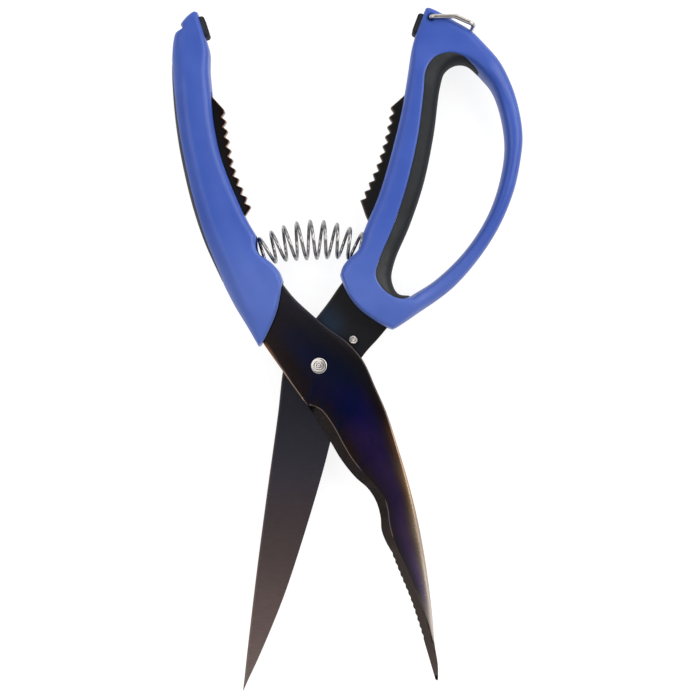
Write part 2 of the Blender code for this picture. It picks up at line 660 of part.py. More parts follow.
def bar_seen_from_lever(closed_deg):
    """Where the latched cross bar is, in the open lever's own place, when the lever is closed that far."""
    bar = spun(BAIL_REACH, BAIL_LATCHED_DEG) + np.array(BAIL_AT)
    return spun(bar - np.array(PIVOT), closed_deg) + np.array(PIVOT)


def latch_notch(arm):
    """The notch for the bail's cross bar. It runs on outwards, so squeezing the handles frees the bar."""
    held, freed = bar_seen_from_lever(LATCHED_DEG), bar_seen_from_lever(CLOSING_DEG)
    out = (freed - held) / np.linalg.norm(freed - held)
    aside = np.array([-out[1], out[0]])
    turns = np.linspace(0, math.pi, 9)
    round_end = [held + NOTCH_RADIUS * (aside * math.cos(t) - out * math.sin(t)) for t in turns]
    mouth = [freed + 3 * out - NOTCH_RADIUS * aside, freed + 3 * out + NOTCH_RADIUS * aside]
    loop = np.array(round_end + mouth)
    return relief("cutter_latch_notch", [loop], flat_at(HANDLE_HALF), flat_at(-HANDLE_HALF), arm, None)


def lever_handle(arm):
    step = 4.0
    outer = through(LEVER_OUTER, step)
    runs = (LEVER_TOP, LEVER_STRIKE, LEVER_INNER, LEVER_SCOOP, LEVER_END)
    others = [through(run, step) for run in runs]
    fine = [through(run, 0.8) for run in (*runs, LEVER_OUTER)]
    height = padded_height(joined(*fine), lever_crown)
    first, last = (int(np.argmin(np.abs(outer[:, 1] - y))) for y in (LEVER_GRIP_FROM_Y, LEVER_GRIP_TO_Y))
    stretch = outer[first : last + 1, :2]
    ease = np.sin(np.linspace(0, math.pi, len(stretch))) ** 0.5
    inward = -normals_of(stretch, closed=False)
    seam = stretch + (LEVER_GRIP_DEPTH * ease)[:, None] * inward
    wall = seam + SEAM_GAP * inward
    strip = np.vstack([stretch[1:-1], seam[-2:0:-1]])
    blue_outer = np.vstack([outer[:first, :2], wall, outer[last + 1 :, :2]])
    outline = joined(*[run[:, :2] for run in others], blue_outer)
    handle = relief(
        "lever_handle", [outline], height, mirrored(height), arm, "blue_polypropylene", rows=(0.9, 2.5),
        grid=3.4,
    )
    relief("lever_grip", [strip], height, mirrored(height), arm, "grey_soft_grip")

    back = shifted(through(FRONT_TANG_BACK, TANG_STEP)[:-3], TANG_PLAY)
    front = shifted(through(FRONT_TANG_FRONT, TANG_STEP)[2:], TANG_PLAY)
    mouth = [(-8.0, 24.0), (-16.0, 2.0)]
    jaw = [(-36.5, 101.2), (-20.0, 90.0), (-15.0, 60.0)]
    low, high = FRONT_BOTTOM - TANG_PLAY, FRONT_TOP + TANG_PLAY
    slot = tang_slot("cutter_front_tang", [back, jaw, front], mouth, low, high, arm)
    cut(handle, slot)
    cut(handle, spring_pocket("cutter_left_pocket", SPRING_LEFT_DEG, 1, arm))
    cut(handle, bumper("cutter_left_bumper", LEVER_STRIKE, arm, SEAM_GAP, None))
    cut(handle, latch_notch(arm))
    bumper("lever_bumper", LEVER_STRIKE, arm, 0.0, "grey_soft_grip")


def loop_handle(arm):
    step = 4.0
    outer = [through(run, step) for run in (LOOP_OUTER, LOOP_END, LOOP_INNER, LOOP_STRIKE)]
    grip_side, bow_side = (through(run, step) for run in (HOLE_GRIP_SIDE, HOLE_BOW_SIDE))
    fine = [through(run, 0.8) for run in (LOOP_OUTER, LOOP_END, LOOP_INNER, LOOP_STRIKE)]
    fine_hole = joined(through(HOLE_GRIP_SIDE, 0.8), through(HOLE_BOW_SIDE, 0.8))
    height = padded_height(np.vstack([joined(*fine), fine_hole]), loop_crown)
    seam = through(LOOP_SEAM, 3.0)
    blue_side = shifted(seam, -SEAM_GAP / 2)
    grey_side = shifted(seam, SEAM_GAP / 2)
    opening = joined(bow_side[:, :2], blue_side[1:-1])
    outline = joined(*[run[:, :2] for run in outer])
    handle = relief(
        "loop_handle", [outline, opening], height, mirrored(height), arm, "blue_polypropylene",
        rows=(0.9, 2.5), grid=3.4,
    )
    pad = joined(grip_side[1:-1, :2], grey_side[::-1][1:-1])
    relief("loop_grip", [pad], height, mirrored(height), arm, "grey_soft_grip", rows=(1.6,))

    back = shifted(through(REAR_TANG_BACK, TANG_STEP)[3:], TANG_PLAY)
    front = shifted(through(REAR_TANG_FRONT, TANG_STEP)[:-2], TANG_PLAY)
    mouth = [(22.0, 8.0), (2.0, 24.0)]
    jaw = [(12.0, 56.0), (18.0, 92.0), (30.0, 102.0)]
    low, high = REAR_BOTTOM - TANG_PLAY, REAR_TOP + TANG_PLAY
    slot = tang_slot("cutter_rear_tang", [back, mouth, front], jaw, low, high, arm)
    cut(handle, slot)
    cut(handle, spring_pocket("cutter_right_pocket", SPRING_RIGHT_DEG, -1, arm))
    cut(handle, bumper("cutter_right_bumper", LOOP_STRIKE, arm, SEAM_GAP, None))
    bumper("loop_bumper", LOOP_STRIKE, arm, 0.0, "grey_soft_grip")
    bore = [(0, -HANDLE_HALF), (BAIL_HOLE, -HANDLE_HALF), (BAIL_HOLE, HANDLE_HALF), (0, HANDLE_HALF)]
    cut(handle, turned("cutter_bail_hole", bore, (*BAIL_AT, 0), arm, None, count=16))


# ---- the wires ----
def return_spring(arm):
    """A barrel-shaped coil spring, bent along an arc."""
    count = int(SPRING_TURNS * 14)
    path = []
    for share in np.linspace(0, 1, count + 1):
        degrees = SPRING_LEFT_DEG + (SPRING_RIGHT_DEG - SPRING_LEFT_DEG) * share
        around = 2 * math.pi * (SPRING_TURNS * share + COIL_START)
        coil = COIL_END + COIL_SWELL * math.exp(-(((degrees - COIL_MIDDLE_DEG) / COIL_SPREAD_DEG) ** 2))
        radius = SPRING_RADIUS + coil * math.cos(around)
        angle = math.radians(degrees)
        path.append((radius * math.sin(angle), radius * math.cos(angle), coil * math.sin(around)))
    wire("return_spring", path, SPRING_WIRE / 2, arm, "spring_steel", resolution=1)


def bail(arm):
    """A bent wire loop. Its two ends turn into the loop handle's cross hole."""
    knee, bar = np.array(BAIL_KNEE), np.array(BAIL_REACH)
    way = (bar - knee) / np.linalg.norm(bar - knee)
    half = [(0, 0, BAIL_END_Z), (0, 0, BAIL_ARM_Z - 1.2), (0.35, 0, BAIL_ARM_Z - 0.35), (1.2, 0, BAIL_ARM_Z)]
    half += [(*(knee - (1, 0)), BAIL_ARM_Z), (*knee, BAIL_ARM_Z), (*(knee + way), BAIL_ARM_Z)]
    for turn in np.radians([0, 30, 60, 90]):
        spot = bar - BAIL_BEND * (1 - math.sin(turn)) * way
        half.append((*spot, BAIL_ARM_Z - BAIL_BEND * (1 - math.cos(turn))))
    wire("lock_bail", half + [(x, y, -z) for x, y, z in reversed(half)], BAIL_WIRE, arm, "bail_steel")


def main():
    for thing in list(bpy.data.objects):
        bpy.data.objects.remove(thing)
    rear_arm = frame_at("rear_arm", START[0] + PIVOT[0], START[1] + PIVOT[1])
    front_arm = frame_at("front_arm", 0, 0, rear_arm)
    bail_arm = frame_at("bail_arm", BAIL_AT[0] - PIVOT[0], BAIL_AT[1] - PIVOT[1], rear_arm)
    rear_blade(rear_arm)
    loop_handle(rear_arm)
    pivot(rear_arm)
    stop_pin(rear_arm)
    return_spring(rear_arm)
    front_blade(front_arm)
    lever_handle(front_arm)
    bail(bail_arm)


main()
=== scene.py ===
import json
import math

import bmesh
import bpy
import numpy as np
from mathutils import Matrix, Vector
from mathutils.geometry import delaunay_2d_cdt


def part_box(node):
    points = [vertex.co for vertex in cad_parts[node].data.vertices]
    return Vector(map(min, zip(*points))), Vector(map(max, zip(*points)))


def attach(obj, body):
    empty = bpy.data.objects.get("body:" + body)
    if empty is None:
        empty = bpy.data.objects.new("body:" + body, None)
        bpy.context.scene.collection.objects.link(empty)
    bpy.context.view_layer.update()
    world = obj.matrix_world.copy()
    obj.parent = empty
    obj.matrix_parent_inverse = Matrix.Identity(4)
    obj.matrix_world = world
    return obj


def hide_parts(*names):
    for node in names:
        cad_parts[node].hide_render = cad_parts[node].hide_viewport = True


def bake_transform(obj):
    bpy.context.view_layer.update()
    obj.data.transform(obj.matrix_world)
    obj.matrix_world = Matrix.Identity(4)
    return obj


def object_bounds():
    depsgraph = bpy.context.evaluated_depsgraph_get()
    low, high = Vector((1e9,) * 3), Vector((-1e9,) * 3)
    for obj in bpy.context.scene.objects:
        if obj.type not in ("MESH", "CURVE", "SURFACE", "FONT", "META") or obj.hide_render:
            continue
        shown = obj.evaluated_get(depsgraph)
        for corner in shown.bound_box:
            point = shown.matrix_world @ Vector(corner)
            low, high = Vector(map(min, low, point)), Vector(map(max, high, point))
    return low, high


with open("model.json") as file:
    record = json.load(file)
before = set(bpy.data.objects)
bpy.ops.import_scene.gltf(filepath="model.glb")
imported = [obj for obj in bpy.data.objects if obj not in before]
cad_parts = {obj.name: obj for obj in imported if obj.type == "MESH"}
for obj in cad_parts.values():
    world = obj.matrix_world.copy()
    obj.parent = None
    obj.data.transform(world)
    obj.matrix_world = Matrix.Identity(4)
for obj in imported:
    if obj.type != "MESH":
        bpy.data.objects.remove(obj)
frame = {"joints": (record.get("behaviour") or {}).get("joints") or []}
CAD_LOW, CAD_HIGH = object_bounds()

# Spring-loaded poultry shears. Lengths are millimetres from a point beside the pivot axis, on the plane where
# the blades meet, seen from above: handles towards +Y, blades towards -Y, lever handle on the -X side.

MM = 0.001
JOINTS = {joint["name"]: joint for joint in frame["joints"]}
AXIS = (0.8, 0.15)  # the pivot axis, measured as the outlines are
PIVOT = Vector(JOINTS["blade_pivot"]["pos_m"])
ZERO = PIVOT - Vector((*AXIS, 0)) * MM  # the outlines' own zero
BAIL_PLACE = (Vector(JOINTS["bail_hinge"]["pos_m"]) - ZERO) / MM
BAIL_AT = (BAIL_PLACE.x, BAIL_PLACE.y)
SPRING_EASE = 0.15 / 0.7  # a share of the spring's span, taken past each of its ends; the points this gives are not used
VIEW_DEG = 29.2  # the camera's field of view
VIEW_OVER = (0.0010, 0.00035)  # the point it looks straight down on, in metres
VIEW_HEIGHT = 0.5  # and how far above the blades it is, in metres


def height_of(node, side):
    """The lowest (0) or highest (1) point of a CAD node, above the blades' meeting plane."""
    return (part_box(node)[side].z - PIVOT.z) / MM


# ---- driving dimensions, as in the CAD ----
HANDLE_HALF = height_of("lever_handle", 1)
FRONT_BOTTOM, FRONT_TOP = height_of("front_blade", 0), height_of("front_blade", 1)
REAR_BOTTOM, REAR_TOP = height_of("rear_blade", 0), height_of("rear_blade", 1)
EDGE_THICK = 0.35
REAR_GRIND = 5.0
SPINE_DROP = 1.5
CHAMFER = 0.3
PIVOT_HOLE = 2.1
HEAD_RADIUS = 3.0
STOP_AT = (13.4, 9.8)
STOP_RADIUS = 1.65
TEETH = 11
TOOTH_DEPTH = 1.5
SERRATIONS = 15
SERRATION_DEPTH = 0.35
TIP_HALF = 6.2
BOW_HALF = 5.6
TANG_PLAY = 0.2
GROOVE_DEPTH = 0.3
GROOVE_HALF = 0.28
SEAM_GAP = 0.02
LEVER_GRIP_DEPTH = 1.4
LEVER_GRIP_FROM_Y, LEVER_GRIP_TO_Y = 30.0, 113.0
SPRING_RADIUS = 47.0
SPRING_LEFT_DEG, SPRING_RIGHT_DEG = -31.0, 21.8
SPRING_TURNS = 9.75
SPRING_WIRE = 1.25
COIL_END, COIL_SWELL, COIL_START = 4.05, 2.95, -0.2
COIL_MIDDLE_DEG, COIL_SPREAD_DEG = -2.75, 21.0
POCKET_RADIUS, POCKET_BACK = 6.4, 2.6
BOSS_RADIUS, BOSS_LENGTH = 2.6, 4.1
BAIL_WIRE = 0.85
BAIL_REACH, BAIL_KNEE = (15.7, -2.9), (8.8, 0.1)
BAIL_ARM_Z = height_of("lock_bail", 1) - BAIL_WIRE
BAIL_END_Z = 2.6
BAIL_LATCHED_DEG, LATCHED_DEG, CLOSING_DEG = 174.0, 33.3, 33.6
BAIL_HOLE, NOTCH_RADIUS = 1.1, 1.2
BUMPER_PROUD, BUMPER_SUNK, BUMPER_LENGTH, BUMPER_DOWN, BUMPER_HALF = 1.8, 1.5, 7.7, 0.3, 3.9

# ---- outlines: (x, y), or (x, y, rim half height, how far the rounding reaches in) ----
FRONT_SPINE = [
    (-12.8, 30.6), (-8.9, 25.7), (-4.7, 21.6), (4.0, 14.2), (11.2, 9.0), (17.0, 2.2), (21.8, -8.2),
    (25.7, -17.1), (30.1, -30.5), (34.1, -43.9), (37.4, -57.3), (39.9, -70.7), (41.5, -81.8),
    (42.8, -93.0), (43.6, -102.7), (44.8, -110.5), (44.9, -114.6),
]
FRONT_TIP = [(44.9, -114.6), (44.7, -116.4), (44.2, -116.5), (43.5, -114.8)]
SERRATED_EDGE = [(39.6, -101.5), (37.6, -95.2), (34.6, -86.3), (30.9, -77.4), (27.3, -68.4)]
NOTCHED_EDGE = [
    (27.3, -68.4), (25.5, -65.1), (24.0, -61.0), (23.6, -56.1), (22.0, -50.4), (18.9, -45.5),
    (14.3, -41.4), (9.0, -34.8), (5.4, -28.8), (0.4, -20.5), (-4.1, -13.8),
]
GRIND_LINE = [
    (-3.4, -14.6), (-1.6, -14.6), (1.4, -15.9), (4.1, -18.9), (6.9, -23.3), (9.9, -28.9), (13.1, -34.2),
    (15.9, -37.8), (18.9, -41.3), (22.2, -44.9), (25.1, -48.9), (26.4, -53.6), (26.8, -57.3), (27.8, -61.9),
    (29.9, -67.5), (33.7, -75.9), (38.0, -86.1), (41.2, -94.5), (43.4, -102.4),
]
FRONT_HEEL = [(-4.1, -13.8), (-12.8, -1.7), (-19.3, 7.6)]
FRONT_TANG_BACK = [
    (-19.3, 7.6), (-22.6, 14.5), (-28.0, 24.2), (-34.4, 37.6), (-38.6, 47.6), (-42.6, 58.8),
    (-45.8, 71.0), (-48.1, 84.0), (-49.2, 96.5), (-49.1, 105.0), (-47.4, 109.0), (-44.8, 108.0),
    (-42.8, 104.6), (-39.1, 100.1), (-34.4, 94.9),
]
LEFT_JAW = [(-34.0, 94.1), (-32.5, 84.5), (-30.0, 72.6), (-24.4, 59.1)]
FRONT_TANG_FRONT = [
    (-24.6, 58.4), (-26.9, 55.0), (-29.6, 51.6), (-30.9, 47.6), (-29.2, 43.6), (-24.8, 36.8),
    (-20.8, 33.8), (-16.4, 32.6), (-12.8, 30.6),
]
REAR_SPINE = [
    (-27.6, -121.3), (-26.0, -106.4), (-22.3, -75.1), (-18.8, -48.4), (-14.5, -17.1), (-12.8, -2.2),
    (-11.0, 5.8), (-4.1, 13.4), (3.7, 23.1), (8.2, 29.6), (10.2, 32.2),
]
REAR_TANG_FRONT = [
    (10.2, 32.2), (13.4, 33.9), (16.6, 36.2), (19.4, 41.6), (21.7, 47.6), (21.6, 50.8), (19.0, 54.0),
    (16.4, 60.9),
]
RIGHT_JAW = [(16.1, 61.6), (22.0, 74.5), (25.6, 86.7), (27.4, 96.2)]
REAR_TANG_BACK = [
    (27.9, 96.7), (32.7, 101.0), (35.0, 103.4), (36.9, 102.0), (36.4, 94.5), (33.3, 76.6), (28.6, 59.5),
    (24.6, 48.0), (21.3, 39.2), (20.1, 34.2), (20.6, 29.6), (24.4, 24.4), (27.0, 19.6), (26.0, 14.1),
]
REAR_EDGE = [
    (26.0, 14.1), (22.3, 9.7), (18.2, 5.2), (14.1, -0.7), (10.6, -8.2), (7.8, -17.1), (2.4, -38.3),
    (-5.2, -64.0), (-12.6, -86.3), (-21.8, -108.6), (-26.0, -117.6), (-27.6, -121.3),
]
REAR_CUT_FROM = (10.6, -8.2)

LEVER_TOP = [
    (-50.3, 126.9, 1.6, 2.5), (-49.5, 127.9, 2.0, 2.5), (-47.4, 130.0, 2.4, 2.5), (-45.4, 131.2, 2.6, 2.5),
    (-44.1, 130.7, 3.0, 2.0),
]
LEVER_STRIKE = [(-44.1, 130.7, 3.0, 1.6), (-41.0, 120.7, 3.6, 1.6)]
LEVER_INNER = [
    (-41.0, 120.7, 3.6, 2.0), (-40.0, 116.6, 3.9, 2.4), (-40.0, 110.0, 4.3, 2.4), (-39.1, 100.1, 4.6, 2.4),
    (-38.1, 90.0, 4.6, 2.4), (-35.9, 78.9, 4.6, 2.4), (-32.9, 69.9, 4.6, 2.4), (-29.2, 61.0, 4.6, 2.4),
    (-25.9, 53.9, 4.6, 2.4), (-22.5, 48.2, 4.6, 2.4),
]
LEVER_SCOOP = [
    (-22.5, 48.2, 4.6, 2.2), (-22.2, 45.0, 4.6, 2.2), (-21.0, 42.2, 4.6, 2.2), (-18.6, 39.6, 4.6, 2.2),
    (-15.9, 37.3, 4.6, 2.2), (-13.9, 34.8, 4.6, 2.0), (-12.6, 31.4, 4.6, 1.6),
]
LEVER_END = [
    (-12.6, 31.4, 4.6, 1.2), (-13.2, 28.3, 4.6, 1.1), (-14.6, 21.0, 4.6, 1.1), (-17.3, 14.1, 4.6, 1.1),
    (-20.2, 8.6, 4.6, 1.1), (-21.4, 7.2, 4.4, 1.3),
]
LEVER_OUTER = [
    (-21.4, 7.2, 4.4, 1.6), (-25.3, 13.9, 3.4, 3.0), (-31.1, 23.4, 1.6, 5.0), (-37.6, 36.6, 1.0, 6.5),
    (-41.9, 46.3, 1.0, 6.5), (-45.7, 57.5, 1.0, 6.5), (-48.9, 70.0, 1.0, 6.5), (-51.5, 83.4, 1.0, 6.2),
    (-53.1, 96.7, 1.0, 6.0), (-53.8, 110.0, 1.0, 6.0), (-53.4, 119.4, 1.2, 5.0), (-52.6, 123.0, 1.4, 3.5),
    (-51.2, 124.8, 1.5, 3.0),
]
LOOP_OUTER = [
    (40.1, 132.1, 3.0, 1.6), (41.1, 132.5, 2.8, 1.8), (44.2, 131.5, 2.4, 2.5), (50.7, 128.0, 1.8, 3.2),
    (56.7, 124.6, 1.4, 3.4), (62.8, 118.7, 1.1, 3.4), (68.1, 112.3, 1.0, 3.2), (72.5, 103.4, 1.0, 3.0),
    (75.1, 94.5, 1.0, 3.0), (76.3, 85.6, 1.0, 3.0), (75.9, 78.9, 1.0, 3.0), (72.9, 64.4, 1.0, 3.0),
    (65.3, 47.6, 1.0, 3.0), (51.3, 29.8, 1.2, 3.2), (36.1, 18.6, 2.4, 2.8), (30.5, 14.8, 3.6, 1.8),
    (28.2, 13.5, 4.4, 1.3),
]
LOOP_END = [
    (28.2, 13.5, 4.4, 1.2), (26.2, 14.2, 4.6, 1.1), (22.3, 16.4, 4.6, 1.1), (16.2, 20.8, 4.6, 1.1),
    (12.3, 25.3, 4.6, 1.1), (9.9, 29.8, 4.6, 1.3), (8.6, 33.6, 4.6, 1.6),
]
LOOP_INNER = [
    (8.6, 33.6, 4.6, 1.8), (9.5, 36.5, 4.6, 2.2), (12.0, 39.8, 4.6, 2.6), (14.6, 42.2, 4.6, 3.0),
    (16.3, 45.8, 4.6, 3.2), (17.4, 49.8, 4.6, 3.4), (22.9, 63.2, 4.6, 3.4), (27.0, 76.6, 4.6, 3.4),
    (31.4, 94.5, 4.6, 3.2), (34.0, 109.7, 4.3, 2.8), (35.1, 117.2, 3.8, 2.2), (36.2, 121.5, 3.6, 1.8),
]
LOOP_STRIKE = [(36.2, 121.5, 3.6, 1.6), (40.1, 132.1, 3.0, 1.6)]
HOLE_GRIP_SIDE = [
    (60.4, 108.0, 1.0, 2.8), (55.7, 111.8, 1.0, 3.2), (51.6, 112.0, 1.0, 3.4), (47.6, 109.2, 1.0, 3.4),
    (45.7, 103.4, 1.0, 3.4), (43.3, 85.6, 1.0, 3.4), (39.6, 67.7, 1.0, 3.2), (34.4, 52.1, 1.0, 3.0),
    (28.8, 38.7, 1.0, 3.0), (27.7, 32.0, 1.0, 3.2), (30.1, 26.9, 1.0, 3.4), (35.0, 26.1, 1.0, 2.8),
]
HOLE_BOW_SIDE = [
    (35.0, 26.1, 1.0, 2.8), (44.1, 32.0, 1.0, 2.6), (55.4, 43.2, 1.0, 2.6), (63.8, 56.5, 1.0, 2.6),
    (68.3, 69.9, 1.0, 2.6), (69.8, 82.0, 1.0, 2.6), (67.9, 94.5, 1.0, 2.6), (64.8, 102.6, 1.0, 2.8),
    (60.4, 108.0, 1.0, 2.8),
]
LOOP_SEAM = [
    (60.4, 108.0), (57.4, 111.4), (53.0, 114.5), (48.2, 115.3), (43.2, 113.4), (40.1, 108.7),
    (39.1, 99.7), (37.1, 84.3), (33.1, 66.7), (28.1, 51.4), (22.9, 38.9), (21.7, 33.4), (23.7, 29.1),
    (28.0, 25.6), (32.1, 24.8), (35.0, 26.1),
]


# ---- curves and outlines ----
def through(points, step):
    """Points about step apart along a smooth curve through the given ones (centripetal Catmull-Rom)."""
    p = np.array(points, float)
    if len(p) == 2:
        count = max(1, math.ceil(np.linalg.norm(p[1, :2] - p[0, :2]) / step))
        return p[0] + np.linspace(0, 1, count + 1)[:, None] * (p[1] - p[0])
    p = np.vstack([2 * p[0] - p[1], p, 2 * p[-1] - p[-2]])
    found = []
    for a, b, c, d in zip(p, p[1:], p[2:], p[3:]):
        knots = np.cumsum([0] + [math.sqrt(np.linalg.norm(v[:2])) for v in (b - a, c - b, d - c)])
        count = max(1, math.ceil(np.linalg.norm(c[:2] - b[:2]) / step))
        for t in np.linspace(knots[1], knots[2], count, endpoint=False):
            ab = a + (b - a) * (t - knots[0]) / (knots[1] - knots[0])
            bc = b + (c - b) * (t - knots[1]) / (knots[2] - knots[1])
            cd = c + (d - c) * (t - knots[2]) / (knots[3] - knots[2])
            abc = ab + (bc - ab) * (t - knots[0]) / (knots[2] - knots[0])
            bcd = bc + (cd - bc) * (t - knots[1]) / (knots[3] - knots[1])
            found.append(abc + (bcd - abc) * (t - knots[1]) / (knots[2] - knots[1]))
    return np.array(found + [p[-2]])


def joined(*runs, closed=True):
    """One line from runs that each start where the last one ends, closed unless told otherwise."""
    width = min(len(run[0]) for run in runs)
    points = [np.array(point[:width], float) for run in runs for point in run]
    after = points[1:] + ([points[0]] if closed else [points[-1] + 1])
    return np.array([p for p, q in zip(points, after) if np.linalg.norm(p[:2] - q[:2]) > 0.02])


def area_of(loop):
    x, y = loop[:, 0], loop[:, 1]
    return 0.5 * float(np.sum(x * np.roll(y, -1) - np.roll(x, -1) * y))


def circle(centre, radius, count):
    angles = np.linspace(0, 2 * math.pi, count, endpoint=False)
    return np.array(centre) + radius * np.column_stack([np.cos(angles), np.sin(angles)])


def normals_of(line, closed):
    """Unit normals on the left of a line's direction of travel."""
    ahead = np.roll(line[:, :2], -1, axis=0) - line[:, :2]
    behind = line[:, :2] - np.roll(line[:, :2], 1, axis=0)
    if not closed:
        ahead[-1] = behind[-1]
        behind[0] = ahead[0]
    way = ahead / np.linalg.norm(ahead, axis=1)[:, None] + behind / np.linalg.norm(behind, axis=1)[:, None]
    way = way / np.linalg.norm(way, axis=1)[:, None]
    return np.column_stack([-way[:, 1], way[:, 0]])


def shifted(line, distance):
    """An open line moved sideways, to the left of its direction of travel."""
    return np.array(line)[:, :2] + distance * normals_of(np.array(line), closed=False)


def distance_to(points, line, closed=False):
    """Distance from each point to a line of straight pieces."""
    line = np.array(line, float)
    ends = np.roll(line, -1, axis=0) if closed else line[1:]
    starts = line if closed else line[:-1]
    best = np.full(len(points), np.inf)
    for a, b in zip(starts[:, :2], ends[:, :2]):
        along = b - a
        share = np.clip((points - a) @ along / max(along @ along, 1e-12), 0, 1)
        best = np.minimum(best, ((points - a - share[:, None] * along) ** 2).sum(axis=1))
    return np.sqrt(best)


def inside(points, loops):
    """Whether each point is inside the loops, counting crossings, so that inner loops are holes."""
    crossings = np.zeros(len(points), int)
    for loop in loops:
        for (ax, ay), (bx, by) in zip(loop[:, :2], np.roll(loop[:, :2], -1, axis=0)):
            if ay == by:
                continue
            spans = (points[:, 1] < ay) != (points[:, 1] < by)
            at = ax + (points[:, 1] - ay) * (bx - ax) / (by - ay)
            crossings += spans & (points[:, 0] < at)
    return crossings % 2 == 1


def smoothstep(value):
    t = np.clip(value, 0, 1)
    return t * t * (3 - 2 * t)


# ---- meshes ----
def object_of(name, build, finish, smooth_deg=38, marks=None):
    """An object at the outlines' zero, from a mesh in millimetres. marks are values kept on its points."""
    bmesh.ops.scale(build, verts=build.verts, vec=(MM, MM, MM))
    mesh = bpy.data.meshes.new(name)
    build.to_mesh(mesh)
    build.free()
    for mark, values in (marks or {}).items():
        layer = mesh.attributes.new(mark, "FLOAT", "POINT")
        layer.data.foreach_set("value", np.asarray(values, np.float32))
    thing = bpy.data.objects.new(name, mesh)
    bpy.context.scene.collection.objects.link(thing)
    thing.location = ZERO
    if finish:
        mesh.materials.append(finish)
    mesh.shade_smooth()
    mesh.set_sharp_from_angle(angle=math.radians(smooth_deg))
    return thing


def relief(name, loops, top, bottom, finish, lines=(), rows=(), grid=None, marks=None):
    """A closed solid over flat loops, with its top and bottom heights given by functions of the points.

    lines are extra creases, rows are distances from the outline at which extra points are laid, grid is the
    spacing of those in the middle, and marks are functions of the points whose values the mesh keeps."""
    points, edges = [], []
    for line, closed in [(loop, True) for loop in loops] + [(line, False) for line in lines]:
        first, count = len(points), len(line)
        points += [tuple(p[:2]) for p in line]
        edges += [(first + i, first + (i + 1) % count) for i in range(count if closed else count - 1)]
    spare = [np.empty((0, 2))]
    wanted = []
    for loop in loops:
        turn = (1 if area_of(loop) > 0 else -1) * (1 if loop is loops[0] else -1)
        for row in rows:
            spare.append(loop[:, :2] + turn * row * normals_of(loop, closed=True))
            wanted += [row] * len(loop)
    spare = np.vstack(spare)
    if len(spare):
        clear = np.min([distance_to(spare, loop, closed=True) for loop in loops], axis=0)
        spare = spare[inside(spare, loops) & (clear > 0.9 * np.array(wanted))]
    if grid:
        low, high = loops[0][:, :2].min(axis=0), loops[0][:, :2].max(axis=0)
        columns, ranks = (np.arange(low[i], high[i], grid) for i in (0, 1))
        spots = np.array([(x + (grid / 2) * (j % 2), y) for j, y in enumerate(ranks) for x in columns])
        spots = spots[inside(spots, loops)]
        clear = np.min([distance_to(spots, loop, closed=True) for loop in loops], axis=0)
        spare = np.vstack([spare, spots[clear > (rows[-1] if rows else 0) + 0.55 * grid]])
    points += [tuple(p) for p in spare]
    flat, _, faces, _, _, _ = delaunay_2d_cdt([Vector(p) for p in points], edges, [], 0, 1e-5)
    flat = np.array([tuple(v) for v in flat])
    middles = np.array([flat[f].mean(axis=0) for f in faces])
    faces = [f for f, keep in zip(faces, inside(middles, loops)) if keep]
    used = sorted({i for f in faces for i in f})
    place = {old: new for new, old in enumerate(used)}
    flat = flat[used]
    faces = [[place[i] for i in f] for f in faces]
    high, low = top(flat), bottom(flat)
    build = bmesh.new()
    upper = [build.verts.new((x, y, z)) for (x, y), z in zip(flat, high)]
    lower = [build.verts.new((x, y, z)) for (x, y), z in zip(flat, low)]
    rim = {}
    for face in faces:
        x, y = flat[face, 0], flat[face, 1]
        if np.sum(x * np.roll(y, -1) - np.roll(x, -1) * y) < 0:
            face = face[::-1]
        build.faces.new([upper[i] for i in face])
        build.faces.new([lower[i] for i in reversed(face)])
        for a, b in zip(face, face[1:] + face[:1]):
            rim[(a, b)] = (b, a) not in rim
            if (b, a) in rim:
                rim[(b, a)] = False
    for (a, b), outer in rim.items():
        if outer:
            build.faces.new([upper[b], upper[a], lower[a], lower[b]])
    values = {mark: np.tile(value(flat), 2) for mark, value in (marks or {}).items()}
    return object_of(name, build, finish, marks=values)


def flat_at(height):
    return lambda points: np.full(len(points), float(height))


def mirrored(height):
    return lambda points: -height(points)


def turned(name, profile, centre, finish, count=64, towards=None, sides=0):
    """A solid of revolution, or a prism with that many sides. profile runs round it as (radius, height)."""
    build = bmesh.new()
    rings = []
    for radius, height in profile:
        spots = np.array([(0.0, 0.0)]) if radius == 0 else circle((0, 0), radius, count)
        if sides and radius > PIVOT_HOLE:
            turn = np.arctan2(spots[:, 1], spots[:, 0]) % (2 * math.pi / sides) - math.pi / sides
            flats = radius * math.cos(math.pi / sides) / np.cos(turn)
            spots = spots * (np.minimum(flats, radius) / radius)[:, None]
        rings.append([build.verts.new((x, y, height)) for x, y in spots])
    for lower, upper in zip(rings, rings[1:] + rings[:1]):
        if len(lower) == len(upper) == 1:
            continue
        for i in range(count):
            j = (i + 1) % count
            corners = [
                lower[i % len(lower)], lower[j % len(lower)], upper[j % len(upper)], upper[i % len(upper)]
            ]
            build.faces.new(list(dict.fromkeys(corners)))
    bmesh.ops.recalc_face_normals(build, faces=build.faces)
    if towards is not None:
        turn = Vector((0, 0, 1)).rotation_difference(Vector(towards)).to_matrix()
        bmesh.ops.rotate(build, verts=build.verts, cent=(0, 0, 0), matrix=turn)
    thing = object_of(name, build, finish)
    thing.location = ZERO + Vector(centre) * MM
    return thing


